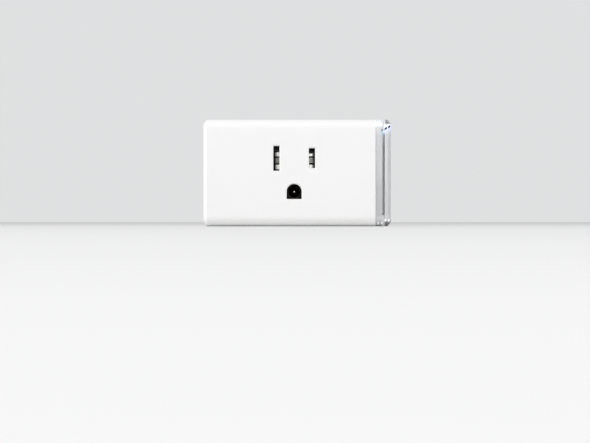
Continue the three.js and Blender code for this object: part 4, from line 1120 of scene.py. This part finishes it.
# Shares of the head's radius and length
DOME_RADII = (0.35, 0.6, 0.8, 0.93, 1.0)
DOME_RISE = 0.35
RECESS_ARM, RECESS_SLIT, RECESS_DEPTH, RECESS_TAPER = 0.58, 0.15, 0.6, 0.55

# Shares of the shank's radius, its length and the thread's pitch
THREAD_PITCH, THREAD_ROOT, SHANK_TIP = 0.75, 0.78, 0.75
THREAD_START, THREAD_LENGTH = 0.12, 0.8
CREST = (0.4, 0.5)


def cross_recess(head_y, facing, radius, depth, centre):
    """A tapered cross cutter for a screw head."""
    x, z = centre
    arm, slit = radius * RECESS_ARM, radius * RECESS_SLIT
    levels = (
        (head_y + facing * RECESS_OUTSIDE, 1.0),
        (head_y, 1.0),
        (head_y - facing * depth, RECESS_TAPER),
    )
    cutters = []
    for half_x, half_z in ((arm, slit), (slit, arm)):
        rings = []
        for y, grow in levels:
            section = rectangle(about(x, half_x * grow), about(z, half_z * grow))
            rings.append([place("y", u, v, y) for u, v in section])
        cutters.append(loft("recess", rings))
    return cutters


def screw(node, centre, head_y, facing, head, shank):
    """A domed screw with a cross recess and a threaded shank; head and shank are (radius, length)."""
    def along(distance):
        return head_y - facing * distance

    profile = [(0, along(0))]
    profile += [(head[0] * t, along(head[1] * DOME_RISE * t * t)) for t in DOME_RADII]
    profile += [(head[0], along(head[1])), (shank[0], along(head[1]))]
    pitch = shank[0] * THREAD_PITCH
    turns = int(shank[1] * THREAD_LENGTH / pitch)
    start = head[1] + shank[1] * THREAD_START
    for i in range(turns):
        at = start + i * pitch
        profile.append((shank[0] * THREAD_ROOT, along(at)))
        profile += [(shank[0], along(at + pitch * share)) for share in CREST]
    profile += [(shank[0] * SHANK_TIP, along(start + turns * pitch)), (0, along(head[1] + shank[1]))]
    piece = turned(node + "_detail", "y", profile, centre, 40)
    cut(piece, *cross_recess(head_y, facing, head[0], head[1] * RECESS_DEPTH, centre))
    soften(piece, SCREW_EDGE, 2, 40)
    stand_in(piece, node, "case", ZINC)


for i, centre in enumerate(CASE_SCREWS):
    screw(f"case_screw_{i + 1}", centre, REAR - CASE_HEAD_SUNK, 1, CASE_HEAD, CASE_SHANK)
for i, centre in enumerate(BOARD_SCREWS):
    screw(f"board_screw_{i + 1}", centre, BOARD_HEAD_Y, -1, BOARD_HEAD, BOARD_SHANK)


# ---------- Relay coil and bulk capacitors ----------

COIL_BORE = 2.85
WIRE_PITCH = 0.4
WIRE_RELIEF = 0.12

# One turn of wire: the share of the pitch, and how deep its outline dips
WIRE_TURN = ((0.02, 1.0), (0.2, 0.25), (0.5, 0.0), (0.8, 0.25), (0.98, 1.0))

BOARD_FACE = -7.9
LEAD_RADIUS = 0.3
LEAD_GAPS = {"bulk_capacitor_1": 1.8, "bulk_capacitor_2": 1.25}
SLEEVE_LIP = 0.35
BARE_INSET = SLEEVE_LIP + 0.2
BARE_DEPTH = 0.5
CLOSE = 0.01
PANEL_SUNK = 0.15
VENT_ARM, VENT_HALF, VENT_DEPTH = 0.55, 0.12, 0.35

# A can's outline at its bare end and at its seal: inset from its radius, and distance from that end
BARE_END = (
    (SLEEVE_LIP + 0.4, PANEL_SUNK),
    (SLEEVE_LIP + 0.25, 0.05),
    (SLEEVE_LIP, 0),
    (0.15, 0.08),
    (0, 0.35),
)
SEAL_END = ((0, 2.7), (0.2, 2.4), (0.35, 2.1), (0.2, 1.8), (0, 1.5), (0, 0.2), (0.2, 0))


def wound_coil():
    """The relay's winding: a tube whose outside is ridged by its turns of wire."""
    low, high = corners("relay_coil")
    centre = ((low.x + high.x) / 2, (low.y + high.y) / 2)
    radius = (high.x - low.x) / 2
    turns = int((high.z - low.z) / WIRE_PITCH)
    pitch = (high.z - low.z) / turns
    profile = [(0, low.z)]
    for i in range(turns):
        profile += [(radius - dip * WIRE_RELIEF, low.z + (i + t) * pitch) for t, dip in WIRE_TURN]
    profile.append((0, high.z))
    coil = turned("relay_coil_detail", "z", profile, centre)
    cut(coil, bar("coil_bore", "z", COIL_BORE, low.z - OVERLAP, high.z + OVERLAP, centre))
    shade(coil, 50)
    stand_in(coil, "relay_coil", "case", COPPER)


def can_materials(can, centre, end, radius):
    """Bare aluminium inside the sleeve's lip, and plated leads beyond the seal."""
    can.data.materials.append(ALUMINIUM)
    can.data.materials.append(NICKEL)
    for face in can.data.polygons:
        x, y, z = face.center / MM
        off_axis = math.hypot(x - centre[0], z - centre[1])
        if y < end + BARE_DEPTH and off_axis < radius - BARE_INSET:
            face.material_index = 1
        elif y > BOARD_FACE + CLOSE:
            face.material_index = 2


def bulk_capacitor(node, lead_gap):
    """A sleeved can: a rolled lip round its vented bare end, and a pinched neck by the seal."""
    low, high = corners(node)
    centre = ((low.x + high.x) / 2, (low.z + high.z) / 2)
    radius = (high.x - low.x) / 2
    end = low.y
    profile = [
        (0, end + PANEL_SUNK),
        *((radius - inset, end + rise) for inset, rise in BARE_END),
        *((radius - inset, BOARD_FACE - rise) for inset, rise in SEAL_END),
        (0, BOARD_FACE),
    ]
    can = turned(node + "_detail", "y", profile, centre)
    arm = radius * VENT_ARM
    vents = []
    for halves in ((arm, VENT_HALF), (VENT_HALF, arm)):
        x, z = map(about, centre, halves)
        vents.append(block("vent", x, (end - OVERLAP, end + VENT_DEPTH), z))
    cut(can, *vents)
    leads = []
    for side in (-1, 1):
        lead_centre = (centre[0], centre[1] + side * lead_gap)
        leads.append(bar("lead", "y", LEAD_RADIUS, BOARD_FACE - OVERLAP, high.y, lead_centre, 16))
    join(can, *leads)
    shade(can, 40)
    stand_in(can, node, "case", SLEEVE)
    can_materials(can, centre, end, radius)


wound_coil()
for node, lead_gap in LEAD_GAPS.items():
    bulk_capacitor(node, lead_gap)


# ---------- Carried-over CAD nodes ----------

CAD_FINISHES = {
    BLACK: (
        "contact_shroud", "board_header", "relay_base", "relay_case", "switch_body", "switch_plunger",
    ),
    NICKEL: ("rf_shield", "switch_cover", "crystal"),
    BRASS: (
        "switch_dome", "relay_contact_spring", "relay_fixed_terminal", "relay_coil_pin_1",
        "relay_coil_pin_2",
    ),
    IRON: ("relay_core", "relay_yoke", "relay_armature"),
    SILVER: ("relay_moving_contact", "relay_fixed_contact"),
    GREEN_BOARD: ("main_board",),
    BLACK_BOARD: ("control_board",),
    BOBBIN: ("relay_bobbin",),
    VARISTOR: ("varistor",),
    FILM_BOX: ("suppression_capacitor",),
    RESISTOR: ("fuse_resistor",),
    FERRITE: ("filter_inductor",),
    CHIP: (
        "bridge_rectifier", "driver_chip", "voltage_regulator", "relay_transistor", "flyback_diode",
        "wifi_chip",
    ),
    LENS: ("status_led",),
    FILM: ("insulating_sheet",),
}

# These stay sharp-edged and plain: thin sheets with many holes.
FLAT_SHEETS = ("main_board", "control_board", "insulating_sheet")
CAD_EDGE = 0.08

for finish_material, nodes in CAD_FINISHES.items():
    for node in nodes:
        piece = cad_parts[node] if node in FLAT_SHEETS else refine_cad(node, CAD_EDGE)
        dress(piece, finish_material)


# ---------- Camera, floor and light ----------

LENS = 153
SENSOR = 36
NEAREST = 10
CAMERA_X, CAMERA_DISTANCE, CAMERA_RISE = 0.3, 895, 1.72
FLOOR_HALF = 6000
FLOOR_CELLS = 8

# Each light: its place, the size of its panel, and its power in watts
LIGHTS = {
    "key": ((-200, -600, 950), (500, 400), 3.2),
    "front": ((50, -1250, 200), (500, 400), 1.7),
    "left": ((-1000, -250, 200), (400, 500), 1.4),
    "right": ((1000, -300, 250), (400, 500), 0.9),
}


def add_camera():
    """Looks straight at the receptacle face from under a metre, just above the body's lower edge."""
    data = bpy.data.cameras.new("camera")
    data.lens = LENS
    data.sensor_width = SENSOR
    data.clip_start = NEAREST * MM
    camera = linked("camera", data)
    camera.location = Vector((CAMERA_X, FRONT - CAMERA_DISTANCE, BOTTOM + CAMERA_RISE)) * MM
    camera.rotation_euler = (math.radians(90), 0, 0)
    SCENE.camera = camera


def add_floor():
    """A plain pale floor that the plug lies on."""
    builder = bmesh.new()
    bmesh.ops.create_grid(builder, x_segments=FLOOR_CELLS, y_segments=FLOOR_CELLS, size=FLOOR_HALF)
    floor = finished("floor", builder)
    floor.location.z = BOTTOM * MM
    finish = Finish("floor_finish", (0.74, 0.74, 0.74), 0.6)
    cloud = finish.noise(220, 2)
    finish.drive("Base Color", finish.tint(cloud, (0.735, 0.735, 0.73), (0.75, 0.75, 0.745)))
    floor.data.materials.append(finish.material)


def add_light(name, location, size, power):
    """A soft panel of light that faces the middle of the receptacle face."""
    data = bpy.data.lights.new(name, "AREA")
    data.shape = "RECTANGLE"
    data.size, data.size_y = (side * MM for side in size)
    data.energy = power
    lamp = linked(name, data)
    lamp.location = Vector(location) * MM
    aim = Vector((0, FRONT, 0)) * MM - lamp.location
    lamp.rotation_euler = aim.to_track_quat("-Z", "Y").to_euler()


def add_surroundings():
    world = bpy.data.worlds.new("surroundings")
    world.use_nodes = True
    world.node_tree.nodes["Background"].inputs["Color"].default_value = (0.74, 0.745, 0.75, 1)
    SCENE.world = world
    SCENE.view_settings.view_transform = "Standard"
    for name, setting in LIGHTS.items():
        add_light(name, *setting)


add_camera()
add_floor()
add_surroundings()
